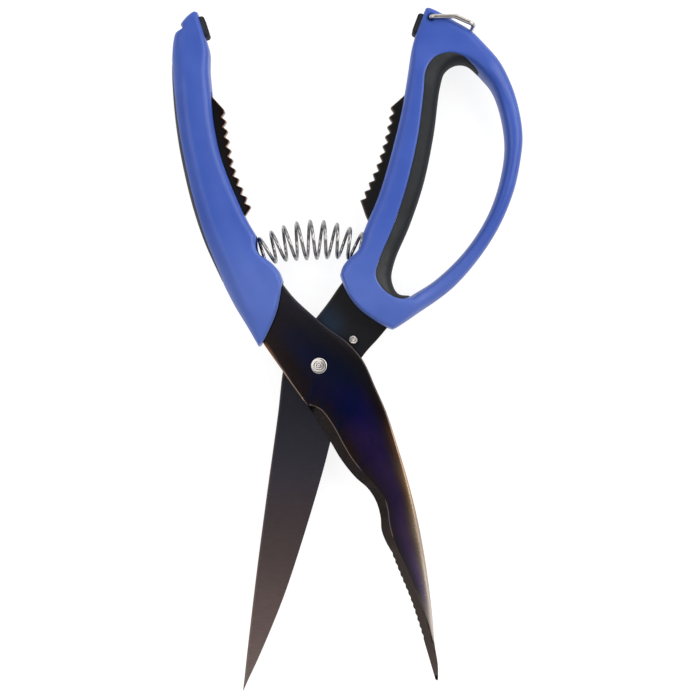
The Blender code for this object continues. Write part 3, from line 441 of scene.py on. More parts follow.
def wire(name, path, radius, finish, around=14):
    """A round wire along a path, with rounded ends, swept without twist. It keeps its distance along."""
    path = np.array(path, float)
    ways = np.gradient(path, axis=0)
    ways /= np.linalg.norm(ways, axis=1)[:, None]
    side = np.cross(ways[0], (0.0, 0.0, 1.0) if abs(ways[0][2]) < 0.9 else (1.0, 0.0, 0.0))
    build = bmesh.new()
    rings, marks = [], []
    last = len(path) - 1
    places = [(0, 0.0, 0.6), (0, 0.12 * radius, 0.88), (0, 0.3 * radius, 1.0)]
    places += [(i, 0.0, 1.0) for i in range(2, last - 1)]
    places += [(last, -0.3 * radius, 1.0), (last, -0.12 * radius, 0.88), (last, 0.0, 0.6)]
    for index, shift, share in places:
        way = ways[index]
        side = side - way * (side @ way)
        side /= np.linalg.norm(side)
        up = np.cross(way, side)
        middle = path[index] + way * shift
        ring = []
        for turn in np.linspace(0, 2 * math.pi, around, endpoint=False):
            spot = middle + radius * share * (side * math.cos(turn) + up * math.sin(turn))
            ring.append(build.verts.new(spot))
        rings.append(ring)
        marks += [index / (len(path) - 1)] * around
    for lower, upper in zip(rings, rings[1:]):
        for i in range(around):
            j = (i + 1) % around
            build.faces.new([lower[i], lower[j], upper[j], upper[i]])
    build.faces.new(list(reversed(rings[0])))
    build.faces.new(rings[-1])
    bmesh.ops.recalc_face_normals(build, faces=build.faces)
    return object_of(name, build, finish, marks={"along": marks})


def cut(thing, *cutters):
    """Boolean cuts, applied. The cutters are removed afterwards."""
    for cutter in cutters:
        modifier = thing.modifiers.new("cut", "BOOLEAN")
        modifier.operation = "DIFFERENCE"
        modifier.solver = "MANIFOLD"
        modifier.object = cutter
    bpy.context.view_layer.update()
    graph = bpy.context.evaluated_depsgraph_get()
    mesh = bpy.data.meshes.new_from_object(thing.evaluated_get(graph))
    thing.modifiers.clear()
    thing.data = mesh
    mesh.shade_smooth()
    mesh.set_sharp_from_angle(angle=math.radians(38))
    for cutter in cutters:
        bpy.data.objects.remove(cutter)


# ---- materials ----
def paint(colour, gain=1.0):
    """A colour given as sRGB 0 to 255, as linear values times a gain."""
    return tuple(
        gain * ((c / 255 + 0.055) / 1.055) ** 2.4 if c > 10 else gain * c / 3294.6 for c in colour
    ) + (1,)


class Finish:
    """A material under construction: nodes are added by kind, and sockets are set or linked by name."""

    def __init__(self, name):
        self.material = bpy.data.materials.new(name)
        self.material.use_nodes = True
        self.tree = self.material.node_tree
        self.shader = self.tree.nodes["Principled BSDF"]

    def put(self, socket, value):
        if isinstance(value, bpy.types.NodeSocket):
            self.tree.links.new(value, socket)
        else:
            socket.default_value = value

    def node(self, kind, settings=(), **sockets):
        node = self.tree.nodes.new("ShaderNode" + kind)
        for key, value in dict(settings).items():
            setattr(node, key, value)
        for key, value in sockets.items():
            self.put(node.inputs[key.replace("_", " ")], value)
        return node

    def set(self, **sockets):
        for key, value in sockets.items():
            self.put(self.shader.inputs[key.replace("_", " ")], value)

    def mark(self, name):
        return self.node("Attribute", {"attribute_name": name}).outputs["Fac"]

    def place(self):
        return self.node("TexCoord").outputs["Object"]

    def stretched(self, x, y, z, turn_deg=0.0):
        mapping = self.node(
            "Mapping", Vector=self.place(), Scale=(x, y, z), Rotation=(0, 0, math.radians(turn_deg))
        )
        return mapping.outputs["Vector"]

    def noise(self, vector, scale, detail=3.0, roughness=0.55):
        found = self.node("TexNoise", Vector=vector, Scale=scale, Detail=detail, Roughness=roughness)
        return found.outputs["Fac"]

    def maths(self, operation, a, b=0.0, c=0.0):
        node = self.node("Math", {"operation": operation})
        for socket, value in zip(node.inputs, (a, b, c)):
            self.put(socket, value)
        return node.outputs[0]

    def between(self, value, low, high, to_low, to_high):
        found = self.node(
            "MapRange", {"interpolation_type": "SMOOTHSTEP"}, Value=value, From_Min=low, From_Max=high,
            To_Min=to_low, To_Max=to_high,
        )
        return found.outputs["Result"]

    def ramp(self, value, stops, gain=1.0):
        node = self.node("ValToRGB", Fac=value)
        bands = node.color_ramp.elements
        while len(bands) < len(stops):
            bands.new(0.5)
        for band, (position, colour) in zip(bands, stops):
            band.position = position
            band.color = paint(colour, gain)
        return node.outputs["Color"]

    def mixed(self, share, a, b, blend="MIX"):
        node = self.node("Mix", {"data_type": "RGBA", "blend_type": blend})
        for socket, value in zip((node.inputs[0], node.inputs[6], node.inputs[7]), (share, a, b)):
            self.put(socket, value)
        return node.outputs[2]

    def bump(self, height, strength, distance):
        found = self.node("Bump", Height=height, Strength=strength, Distance=distance)
        return found.outputs["Normal"]


def moulded_plastic(name, stops, painted_light, roughness):
    """Glossy moulded plastic: a fine spark-eroded grain, faint flow marks, and a paler blue painted in as a
    highlight along its thin ends and as light lower down.
    """
    f = Finish(name)
    cloud = f.noise(f.stretched(1, 1, 1), 60.0, 2.0)
    grain = f.noise(f.stretched(1, 1, 1), 2600.0, 2.0)
    body = f.ramp(cloud, stops)
    # painted light: the paler blue is a painted highlight along the thin ends and painted light lower down
    body = f.mixed(f.mark("painted_light"), body, paint(painted_light))
    f.set(Base_Color=body, Roughness=f.between(grain, 0.3, 0.7, roughness - 0.05, roughness + 0.06))
    f.set(Normal=f.bump(grain, 0.12, 0.00012), IOR=1.49, Specular_IOR_Level=0.38)
    return f.material


def soft_rubber(name, shaded_slope, face, tint_and_highlight, roughness):
    """Matt over-moulded rubber: a stippled skin, grey on its face, with painted shade where it rolls away and
    a lighter grey where the face mark runs highest.
    """
    f = Finish(name)
    stipple = f.noise(f.stretched(1, 1, 1), 3200.0, 3.0, 0.7)
    cloud = f.noise(f.stretched(1, 1, 1), 90.0, 2.0)
    tone = f.maths("MULTIPLY_ADD", f.maths("SUBTRACT", cloud, 0.5), 0.5, f.mark("face"))
    body = f.ramp(tone, [(0.1, shaded_slope), (0.6, face), (1.0, tint_and_highlight)])
    f.set(Base_Color=body, Roughness=f.between(stipple, 0.3, 0.7, roughness - 0.08, roughness + 0.08))
    f.set(Normal=f.bump(stipple, 0.25, 0.00015), IOR=1.5, Specular_IOR_Level=0.18)
    return f.material


# heat-tinted colours across the front blade, from its spine to its grind line, at distances down the blade
TINT_STATIONS = [
    (-60.0, [
        (0.0, (14, 13, 14)), (1.0, (16, 14, 14)),
    ]),
    (-22.0, [
        (0.0, (53, 52, 58)), (0.08, (29, 28, 33)), (0.4, (25, 22, 24)), (1.0, (27, 22, 20)),
    ]),
    (2.0, [
        (0.0, (37, 30, 28)), (0.1, (24, 24, 28)), (0.35, (15, 20, 38)), (0.55, (18, 21, 42)),
        (0.8, (26, 21, 22)),
        (1.0, (32, 26, 25)),
    ]),
    (16.0, [
        (0.0, (43, 36, 34)), (0.1, (27, 20, 22)), (0.28, (22, 20, 56)), (0.5, (19, 17, 66)),
        (0.72, (19, 17, 54)),
        (0.88, (28, 20, 30)), (1.0, (28, 24, 20)),
    ]),
    (30.0, [
        (0.0, (92, 72, 56)), (0.06, (84, 60, 46)), (0.15, (48, 37, 40)), (0.3, (39, 29, 61)),
        (0.55, (44, 29, 67)),
        (0.78, (38, 26, 52)), (0.9, (36, 27, 28)), (1.0, (36, 30, 24)),
    ]),
    (47.0, [
        (0.0, (108, 92, 77)), (0.08, (136, 113, 90)), (0.18, (104, 84, 66)), (0.28, (72, 55, 50)),
        (0.4, (56, 42, 68)), (0.65, (46, 34, 63)), (0.85, (44, 33, 54)), (1.0, (42, 34, 34)),
    ]),
    (64.0, [
        (0.0, (120, 108, 98)), (0.08, (150, 134, 117)), (0.2, (120, 104, 90)), (0.33, (88, 72, 68)),
        (0.45, (74, 58, 82)), (0.65, (62, 49, 76)), (0.85, (50, 40, 58)), (1.0, (46, 41, 42)),
    ]),
    (80.0, [
        (0.0, (134, 126, 118)), (0.16, (168, 156, 142)), (0.3, (128, 116, 108)), (0.44, (112, 98, 114)),
        (0.58, (95, 79, 110)), (0.8, (70, 62, 80)), (1.0, (60, 55, 54)),
    ]),
    (98.0, [
        (0.0, (184, 176, 170)), (0.5, (166, 154, 144)), (0.8, (146, 136, 128)), (1.0, (128, 120, 114)),
    ]),
]
METAL_GAIN = 1.7  # makes up for the dim part of the room that a flat polished face mirrors


def tinted_steel(name):
    """Polished steel with oxide colours that change across and down the blade, and a brushed brown grind."""
    f = Finish(name)
    down, across = f.mark("down"), f.mark("across")
    down_share = f.maths("DIVIDE", down, 120.0)
    streaks = f.noise(f.stretched(1, 1, 1, -20), 45.0, 3.0)
    across = f.maths("MULTIPLY_ADD", f.maths("SUBTRACT", streaks, 0.5), 0.16, across)
    colour = f.ramp(across, TINT_STATIONS[0][1], METAL_GAIN)
    for (before, _), (after, stops) in zip(TINT_STATIONS, TINT_STATIONS[1:]):
        share = f.between(down, before, after, 0.0, 1.0)
        colour = f.mixed(share, colour, f.ramp(across, stops, METAL_GAIN))
    blotches = f.between(f.noise(f.stretched(1.6, 1, 1, 30), 62.0, 3.0, 0.65), 0.5, 0.72, 0.0, 0.55)
    tinted = f.maths("MULTIPLY", blotches, f.between(across, 0.2, 0.5, 0.0, 1.0))
    colour = f.mixed(
        tinted, colour, f.ramp(down_share, [(0.2, (12, 26, 60)), (0.4, (34, 22, 88)), (0.75, (76, 60, 92))])
    )
    brushed = f.noise(f.stretched(600, 9000, 600, 25), 1.0, 2.0)
    ground = f.ramp(
        down_share,
        [(0.1, (22, 20, 21)), (0.45, (27, 24, 24)), (0.6, (46, 40, 37)), (0.85, (56, 49, 46)),
        (1.0, (74, 67, 65))],
        METAL_GAIN,
    )
    ground = f.mixed(f.between(brushed, 0.3, 0.7, 0.0, 0.12), ground, paint((96, 84, 78), METAL_GAIN))
    colour = f.mixed(f.mark("ground"), colour, ground)
    # the edge mark is a copper tint near the handle and a pale painted highlight further down the blade
    heel_share = f.between(down, -9.0, 3.0, 1.0, 0.0)
    copper_and_highlight = f.mixed(heel_share, paint((142, 122, 108), METAL_GAIN), paint((104, 68, 44), METAL_GAIN))
    colour = f.mixed(f.mark("tint_and_highlight"), colour, copper_and_highlight)
    f.set(Base_Color=colour, Metallic=1.0, Roughness=f.between(brushed, 0.2, 0.8, 0.2, 0.28))
    f.set(Normal=f.bump(brushed, 0.06, 0.00005))
    return f.material


def satin_steel(name):
    """Dark coated steel, brushed crosswise, fading from blue black to a warm grey at the point."""
    f = Finish(name)
    down = f.mark("down")
    brushed = f.noise(f.stretched(250, 7000, 600, 8), 1.0, 3.0)
    cloud = f.noise(f.stretched(1, 1, 1), 70.0, 3.0)
    share = f.maths("DIVIDE", f.maths("ADD", down, 22.0), 142.0)
    colour = f.ramp(
        share,
        [
            (0.0, (32, 31, 31)), (0.13, (32, 33, 37)), (0.27, (36, 36, 42)), (0.38, (46, 45, 52)),
            (0.46, (56, 52, 58)),
            (0.56, (68, 59, 61)), (0.66, (80, 69, 68)), (0.77, (98, 84, 82)), (0.88, (113, 97, 94)),
            (1.0, (130, 116, 110)),
        ],
        1.45,
    )
    teal = f.maths("MULTIPLY", f.mark("teal"), f.between(cloud, 0.3, 0.7, 0.5, 1.0))
    colour = f.mixed(teal, colour, paint((36, 48, 64), 1.3))
    colour = f.mixed(
        1.0, colour, f.ramp(brushed, [(0.25, (232, 232, 232)), (0.75, (255, 255, 255))]), "MULTIPLY"
    )
    # copper along the stamped edges: partly the steel's own tint, partly a painted highlight
    colour = f.mixed(f.mark("tint_and_highlight"), colour, paint((122, 98, 80)))
    f.set(Base_Color=colour, Metallic=1.0, Roughness=f.between(brushed, 0.2, 0.8, 0.34, 0.46))
    f.set(Normal=f.bump(brushed, 0.12, 0.00006))
    return f.material


def turned_steel(name):
    """Bright steel faced on a lathe: fine rings round the part's own axis."""
    f = Finish(name)
    rings = f.node(
        "TexWave", {"wave_type": "RINGS", "rings_direction": "Z"}, Vector=f.place(), Scale=380.0,
        Distortion=0.6,
        Detail=2.0, Detail_Scale=2.0,
    ).outputs["Fac"]
    specks = f.noise(f.stretched(1, 1, 1), 1500.0, 2.0)
    colour = f.ramp(f.maths("MULTIPLY_ADD", rings, 0.6, f.maths("MULTIPLY", specks, 0.4)),
                    [(0.2, (170, 164, 158)), (0.8, (216, 210, 204))])
    f.set(Base_Color=colour, Metallic=1.0, Roughness=f.between(rings, 0.0, 1.0, 0.24, 0.36))
    f.set(
        Anisotropic=0.85,
        Tangent=f.node("Tangent", {"direction_type": "RADIAL", "axis": "Z"}).outputs["Tangent"],
    )
    f.set(Normal=f.bump(rings, 0.25, 0.00008))
    return f.material


def drawn_wire(name, dark, light, roughness):
    """Plated wire with faint draw marks along it."""
    f = Finish(name)
    draw = f.noise(f.stretched(1, 1, 1), 900.0, 3.0)
    along = f.maths("MULTIPLY", f.mark("along"), 40.0)
    patches = f.noise(f.node("CombineXYZ", X=along).outputs["Vector"], 1.0, 2.0)
    colour = f.ramp(
        f.maths("MULTIPLY_ADD", draw, 0.5, f.maths("MULTIPLY", patches, 0.5)), [(0.3, dark), (0.7, light)]
    )
    f.set(
        Base_Color=colour, Metallic=1.0,
        Roughness=f.between(draw, 0.2, 0.8, roughness - 0.04, roughness + 0.06),
    )
    f.set(Normal=f.bump(draw, 0.08, 0.00004))
    return f.material


# ---- the two blades ----
def toothed(line, count, depth, step, share_points):
    """Rounded teeth with their tips on the line, their hollows depth to the left of it."""
    fine = through(line, step)
    along = np.concatenate([[0], np.cumsum(np.linalg.norm(np.diff(fine, axis=0), axis=1))])
    normals = normals_of(fine, closed=False)
    found = []
    for share in np.linspace(0, 1, share_points * (count - 1) + 1):
        spot = [np.interp(share * along[-1], along, fine[:, k]) for k in (0, 1)]
        normal = np.array([np.interp(share * along[-1], along, normals[:, k]) for k in (0, 1)])
        phase = (share * (count - 1)) % 1.0
        ridge = abs(2 * phase - 1)
        hollow = 1 - smoothstep(0.12 + 0.76 * ridge)
        hollow = (hollow - (1 - smoothstep(0.88))) / (smoothstep(0.88) - smoothstep(0.12))
        found.append(np.array(spot) + np.clip(hollow, 0, 1) * depth * normal)
    return np.array(found)


def beyond(line, start):
    """The part of a line from the point nearest to start."""
    first = int(np.argmin(np.linalg.norm(line[:, :2] - np.array(start), axis=1)))
    return line[first:]


def front_blade():
    serrated = toothed(SERRATED_EDGE, SERRATIONS, -SERRATION_DEPTH, 0.5, 6)
    notched = through(NOTCHED_EDGE, 0.9)
    spine = through(FRONT_SPINE, 0.9)
    heel, tang_back = through(FRONT_HEEL, 1.2), through(FRONT_TANG_BACK, 1.6)
    jaw, tang_front = toothed(LEFT_JAW, TEETH, -TOOTH_DEPTH, 0.5, 8), through(FRONT_TANG_FRONT, 1.6)
    outline = joined(spine, through(FRONT_TIP, 0.4), serrated, notched, heel, tang_back, jaw, tang_front)
    edge = joined(notched[::-1], np.array(SERRATED_EDGE[::-1]), np.array(FRONT_TIP[:1:-1]), closed=False)
    grind = through(GRIND_LINE, 0.9)
    tip_end = np.array([(44.9, -114.6), (44.7, -116.4)])
    wedge = np.vstack([edge, tip_end[::-1], spine[spine[:, 1] < -103.2][::-1], grind[::-1]])
    back = joined(beyond(spine, (21.8, -8.2)), np.array(FRONT_TIP[1:2]), closed=False)
    stamped = joined(heel[3:], tang_back, jaw, tang_front, spine[spine[:, 1] > -70], closed=False)

    def bevel(points):
        from_edge, from_grind = (
            distance_to(points, edge), distance_to(points, np.vstack([grind, spine[-40:-12]]))
        )
        share = from_edge / np.maximum(from_edge + from_grind, 1e-6)
        share = np.where(points[:, 1] < -103.5, np.clip(from_edge / 3.4, 0, 1), share)
        on = inside(points, [wedge]) | (from_edge < 0.02)
        return np.where(on & (from_grind > 0.02), share, 1.0)

    def top(points):
        growth = smoothstep((-8.0 - points[:, 1]) / 70.0)
        near = np.clip(distance_to(points, back) / (1.2 + 5.0 * growth), 0, 1)
        rounded = FRONT_TOP - SPINE_DROP * growth * (1 - np.sqrt(1 - (1 - near) ** 2 * 0.96))
        flank = rounded - CHAMFER * np.clip(1 - distance_to(points, stamped) / CHAMFER, 0, 1)
        ground = FRONT_BOTTOM + EDGE_THICK + (FRONT_TOP - FRONT_BOTTOM - EDGE_THICK) * bevel(points)
        return np.minimum(flank, ground)

    def across(points):
        whole = joined(np.array(FRONT_TANG_BACK[:4])[::-1], np.array(FRONT_HEEL)[::-1], grind, closed=False)
        from_spine, from_grind = distance_to(points, spine), distance_to(points, whole)
        return from_spine / np.maximum(from_spine + from_grind, 1e-6)

    # copper tint on the stamped rims near the handle; down the blade a pale painted highlight on the rims,
    # along the heel and along the upper grind line
    def tint_and_highlight(points):
        rim = 0.6 * np.clip(1.25 - distance_to(points, stamped) / CHAMFER, 0, 1)
        heel_highlight = np.clip(
            1.3 - distance_to(points, heel) / (0.24 + 0.04 * np.clip(points[:, 1] + 8, 0, 14)), 0, 1
        )
        # painted highlight along the upper grind line, left out over a short stretch
        line = np.clip(1 - distance_to(points, grind[: int(0.6 * len(grind))]) / 0.2, 0, 1)
        line = line * (1 - smoothstep((-36.5 - points[:, 1]) / 3) * smoothstep((points[:, 1] + 51) / 2))
        hidden = smoothstep((points[:, 1] + 30) / 20) * (distance_to(points, spine) < 2)
        return np.clip(np.maximum(rim * (1 - hidden), np.maximum(heel_highlight, 0.6 * line)), 0, 1)

    marks = {
        "down": lambda p: -p[:, 1],
        "across": across,
        "ground": lambda p: (bevel(p) < 0.97).astype(float),
        "tint_and_highlight": tint_and_highlight,
    }
    lines = [grind[1:-2], shifted(grind, 0.24)[2:-3], shifted(grind, -0.24)[3:-3]]
    holes = [circle(AXIS, PIVOT_HOLE, 48)]
    return relief(
        "front_blade_fine", [outline, *holes], top, flat_at(FRONT_BOTTOM),
        tinted_steel("heat_tinted_steel"), lines,
        rows=(0.14, 0.4, 0.8, 1.4, 2.2), grid=1.5, marks=marks,
    )


def rear_blade():
    spine = through(REAR_SPINE, 1.4)
    edge_run = through(REAR_EDGE, 1.4)
    jaw = toothed(RIGHT_JAW, TEETH, -TOOTH_DEPTH, 0.5, 8)
    tang_front, tang_back = through(REAR_TANG_FRONT, 1.6), through(REAR_TANG_BACK, 1.6)
    outline = joined(spine, tang_front, jaw, tang_back, edge_run)
    edge = beyond(edge_run, REAR_CUT_FROM)
    stamped = joined(spine[3:], tang_front, jaw, tang_back, edge_run[:12], closed=False)

    def top(points):
        return REAR_TOP - 0.2 * np.clip(1 - distance_to(points, stamped) / 0.3, 0, 1)

    def bottom(points):
        share = np.clip(distance_to(points, edge) / REAR_GRIND, 0, 1)
        ground = REAR_TOP - EDGE_THICK - (REAR_TOP - REAR_BOTTOM - EDGE_THICK) * share
        return np.maximum(
            ground, REAR_BOTTOM + CHAMFER * np.clip(1 - distance_to(points, stamped) / CHAMFER, 0, 1)
        )

    marks = {
        "down": lambda p: -p[:, 1],
        "teal": lambda p: np.exp(-(((p[:, 0] - 4.5) / 5) ** 2) - ((p[:, 1] - 15.5) / 7) ** 2),
        # copper edge line: partly the steel's own tint, partly a painted highlight
        "tint_and_highlight": lambda p: np.clip(1.2 - distance_to(p, stamped) / 0.3, 0, 1) * 0.7,
    }
    holes = [circle(AXIS, PIVOT_HOLE, 48), circle(STOP_AT, 1.25, 32)]
    return relief(
        "rear_blade_fine", [outline, *holes], top, bottom, satin_steel("satin_dark_steel"),
        [shifted(edge, -REAR_GRIND)[2:-6]], rows=(0.12, 0.35, 0.8, 1.6), grid=2.2, marks=marks,
    )


# ---- the pivot and the stop ----
def ringed(radius, height, crown, rings):
    """A faced disc's profile from its rim to the axis: a slight crown with shallow turned rings."""
    found = []
    for i, share in enumerate(np.linspace(1, 0, 2 * rings + 1)):
        r = radius * share
        found.append((r, height - crown * (r / radius) ** 2 - (0.035 if i % 2 else 0.0)))
    found[-1] = (0, height)
    return found


def fasteners(steel):
    head_from, head_to = FRONT_TOP + 0.25, height_of("pivot_stud", 1)
    stud_low = height_of("pivot_stud", 0)
    stud = [
        (0, stud_low + 0.15), (1.4, stud_low + 0.15), (1.7, stud_low), (2.0, stud_low + 0.3), (2.0, head_from)
    ]
    stud += [(HEAD_RADIUS - 0.25, head_from), (HEAD_RADIUS, head_from + 0.2), (HEAD_RADIUS, head_to - 0.4)]
    stud += [(HEAD_RADIUS - 0.12, head_to - 0.2)] + ringed(HEAD_RADIUS - 0.35, head_to, 0.1, 6)
    head = turned("pivot_stud_fine", stud, (*AXIS, 0), steel, count=72)
    low, high = height_of("pivot_washer", 0), height_of("pivot_washer", 1)
    rim = [(2.1, low), (3.7, low), (3.9, low + 0.12), (3.9, high - 0.12), (3.7, high), (2.1, high)]
    washer = turned("pivot_washer_fine", rim, (*AXIS, 0), steel)
    low, high = height_of("pivot_nut", 0), height_of("pivot_nut", 1)
    rim = [
        (2.1, low + 0.15), (2.35, low), (2.95, low), (3.5, low + 0.3), (3.5, high - 0.15), (3.3, high),
        (2.1, high)
    ]
    nut = turned("pivot_nut_fine", rim, (*AXIS, 0), steel, count=72, sides=6)
    low, high = height_of("stop_pin", 0), height_of("stop_pin", 1)
    shoulder = REAR_TOP + 0.25
    tail = REAR_BOTTOM - 0.25
    pin = [
        (0, low), (1.7, low), (2.0, low + 0.2), (2.0, tail), (1.15, tail), (1.15, shoulder),
        (STOP_RADIUS, shoulder)
    ]
    pin += [(STOP_RADIUS, high - 0.45), (STOP_RADIUS - 0.1, high - 0.2), (STOP_RADIUS - 0.35, high)]
    pin += [(0.75, high), (0.55, high - 0.22), (0.2, high - 0.28), (0, high - 0.28)]
    stop = turned("stop_pin_fine", pin, (*STOP_AT, 0), steel, count=48)
    return head, washer, nut, stop


# ---- the handles ----
def padded_height(loops, crown):
    """Half height of a rounded handle: the rim's own at the border, rising to crown(points) inside it.

    Each border point says how high its rim is and how far in the rounding reaches there. The distance is a
    smooth one, made from every border point at once, so a narrow limb is rounded over its middle."""
    border = np.vstack(loops)
    samples, rims, reaches = border[:, :2], border[:, 2], border[:, 3]
    spans = np.concatenate([np.linalg.norm(np.roll(p[:, :2], -1, axis=0) - p[:, :2], axis=1) for p in loops])

    def height(points):
        apart = np.linalg.norm(points[:, None, :] - samples[None, :, :], axis=2)
        weight = spans / np.maximum(apart, 0.2) ** 4
        total = weight.sum(axis=1)
        soft = (total * 2 / math.pi) ** (-1 / 3)
        edge = np.min([distance_to(points, loop, closed=True) for loop in loops], axis=0)
        near = np.maximum(edge - 0.02, 0)
        share = smoothstep((near - 0.4) / 1.2)
        depth = share * soft + (1 - share) * near
        rim = (weight * rims).sum(axis=1) / total
        reach = (weight * reaches).sum(axis=1) / total
        rise = np.sqrt(1 - (1 - np.clip(depth / reach, 0, 1)) ** 2)
        return rim + (crown(points) - rim) * rise

    return height


def lever_crown(points):
    y = points[:, 1]
    outer = distance_to(points, through([p[:2] for p in LEVER_OUTER], 2.0))
    crest = HANDLE_HALF - 1.7 * smoothstep((outer - 5.5) / 11.0) * smoothstep((y - 14.0) / 20.0)
    crest = crest - 0.5 * smoothstep((5.5 - outer) / 5.5)
    return crest - (crest - TIP_HALF) * smoothstep((y - 104.0) / 16.0) - 1.2 * smoothstep((24.0 - y) / 18.0)


def loop_crown(points):
    x, y = points[:, 0], points[:, 1]
    inner = distance_to(points, through([p[:2] for p in LOOP_INNER], 2.0))
    full = HANDLE_HALF - 0.5 * smoothstep((inner - 4.5) / 7.0) * smoothstep((y - 20.0) / 16.0)
    full = full - (full - TIP_HALF) * smoothstep((y - 106.0) / 16.0)
    bow = smoothstep((x - 0.33 * y - 24.0) / 16.0) * smoothstep((x - 30.0) / 12.0)
    return (
        full + (BOW_HALF - full) * bow * (1 - smoothstep((y - 108.0) / 14.0))
        - 1.2 * smoothstep((24.0 - y) / 12.0) * (1 - bow)
    )


def painted_light_near(ends):
    """How much painted light the plastic gets: a painted highlight along the moulding's thin ends, and a
    little painted light lower down the handles.
    """
    def found(points):
        return 0.55 * (1 - np.clip(distance_to(points, ends) / 0.7, 0, 1)) + 0.8 * painted_light_low(points)
    return found


# painted light: the handles are painted lighter lower down, towards the blades
def painted_light_low(points):
    return 0.28 * smoothstep((58.0 - points[:, 1]) / 32.0)


def grooved(height, seam):
    """The same surface with a fine groove where the two mouldings meet."""
    def found(points):
        away = distance_to(points, seam) / GROOVE_HALF
        return height(points) - GROOVE_DEPTH * np.exp(-(away ** 2)) * np.clip(height(points) - 1.2, 0, 1)
    return found


def tang_slot(name, hidden, mouth, low, high):
    """A cutter for a tang's slot: the tang's hidden edges, eased, closed past the handle's mouth."""
    return relief(name, [np.vstack([*hidden, np.array(mouth)])], flat_at(high), flat_at(low), None)


def spring_pocket(name, degrees, facing):
    """A round pocket with a boss left in its middle. facing is +1 where it opens towards larger angles."""
    bottom = math.radians(degrees - facing * math.degrees(POCKET_BACK / SPRING_RADIUS))
    centre = (SPRING_RADIUS * math.sin(bottom), SPRING_RADIUS * math.cos(bottom), 0)
    way = (facing * math.cos(bottom), -facing * math.sin(bottom), 0)
    profile = [
        (BOSS_RADIUS, 0), (POCKET_RADIUS, 0), (POCKET_RADIUS, 17), (0, 17), (0, BOSS_LENGTH),
        (BOSS_RADIUS - 0.5, BOSS_LENGTH), (BOSS_RADIUS, BOSS_LENGTH - 0.5),
    ]
    return turned(name, profile, centre, None, count=48, towards=way)


def bumper_spot(strike):
    """The middle of a striking edge and the directions along it and out of the handle."""
    a, b = (np.array(p[:2]) for p in strike)
    along = (b - a) / np.linalg.norm(b - a)
    down = along * (BUMPER_DOWN if a[1] > b[1] else -BUMPER_DOWN)
    return (a + b) / 2 + down, along, np.array([-along[1], along[0]])


def bumper_loop(strike, ease, corner):
    middle, along, out = bumper_spot(strike)
    half = BUMPER_LENGTH / 2 + ease
    loop = [(-half, -BUMPER_SUNK - ease), (half, -BUMPER_SUNK - ease)]
    for turn in np.linspace(0, math.pi / 2, 7):
        loop.append(
            (half - corner + corner * math.cos(turn), BUMPER_PROUD - corner + corner * math.sin(turn))
        )
    for turn in np.linspace(math.pi / 2, math.pi, 7):
        loop.append(
            (corner - half + corner * math.cos(turn), BUMPER_PROUD - corner + corner * math.sin(turn))
        )
    return np.array([middle + u * along + v * out for u, v in loop])


def bumper(name, strike, finish):
    loop = bumper_loop(strike, 0.0, 1.1)

    def height(points):
        near = np.clip(distance_to(points, loop, closed=True) / 0.7, 0, 1)
        return BUMPER_HALF - 0.6 * (1 - np.sqrt(1 - (1 - near) ** 2))

    # painted shade: the bumper is painted darker where its edges roll away
    marks = {"face": lambda p: 0.6 * np.clip(distance_to(p, loop, closed=True) / 0.8, 0, 1)}
    return relief(
        name, [loop], height, mirrored(height), finish, rows=(0.12, 0.35, 0.7), grid=0.6, marks=marks
    )


def bumper_recess(name, strike):
    reach = BUMPER_HALF + 0.12
    return relief(name, [bumper_loop(strike, 0.12, 0.4)], flat_at(reach), flat_at(-reach), None)


def spun(place, degrees):
    """A flat place turned about zero."""
    turn = math.radians(degrees)
    x, y = place
    return np.array([x * math.cos(turn) - y * math.sin(turn), x * math.sin(turn) + y * math.cos(turn)])


def bar_seen_from_lever(closed_deg):
    """The latched cross bar's place as the open lever has it, when the lever is closed that far."""
    bar = spun(BAIL_REACH, BAIL_LATCHED_DEG) + np.array(BAIL_AT)
    return spun(bar - np.array(AXIS), closed_deg) + np.array(AXIS)


def latch_notch():
    """The notch for the bail's cross bar. It runs on outwards, so squeezing the handles frees the bar."""
    held, freed = bar_seen_from_lever(LATCHED_DEG), bar_seen_from_lever(CLOSING_DEG)
    out = (freed - held) / np.linalg.norm(freed - held)
    aside = np.array([-out[1], out[0]])
    loop = [
        held + NOTCH_RADIUS * (aside * math.cos(t) - out * math.sin(t)) for t in np.linspace(0, math.pi, 17)
    ]
    loop += [freed + 3 * out - NOTCH_RADIUS * aside, freed + 3 * out + NOTCH_RADIUS * aside]
    return relief("cutter_notch", [np.array(loop)], flat_at(HANDLE_HALF + 1), flat_at(-HANDLE_HALF - 1), None)


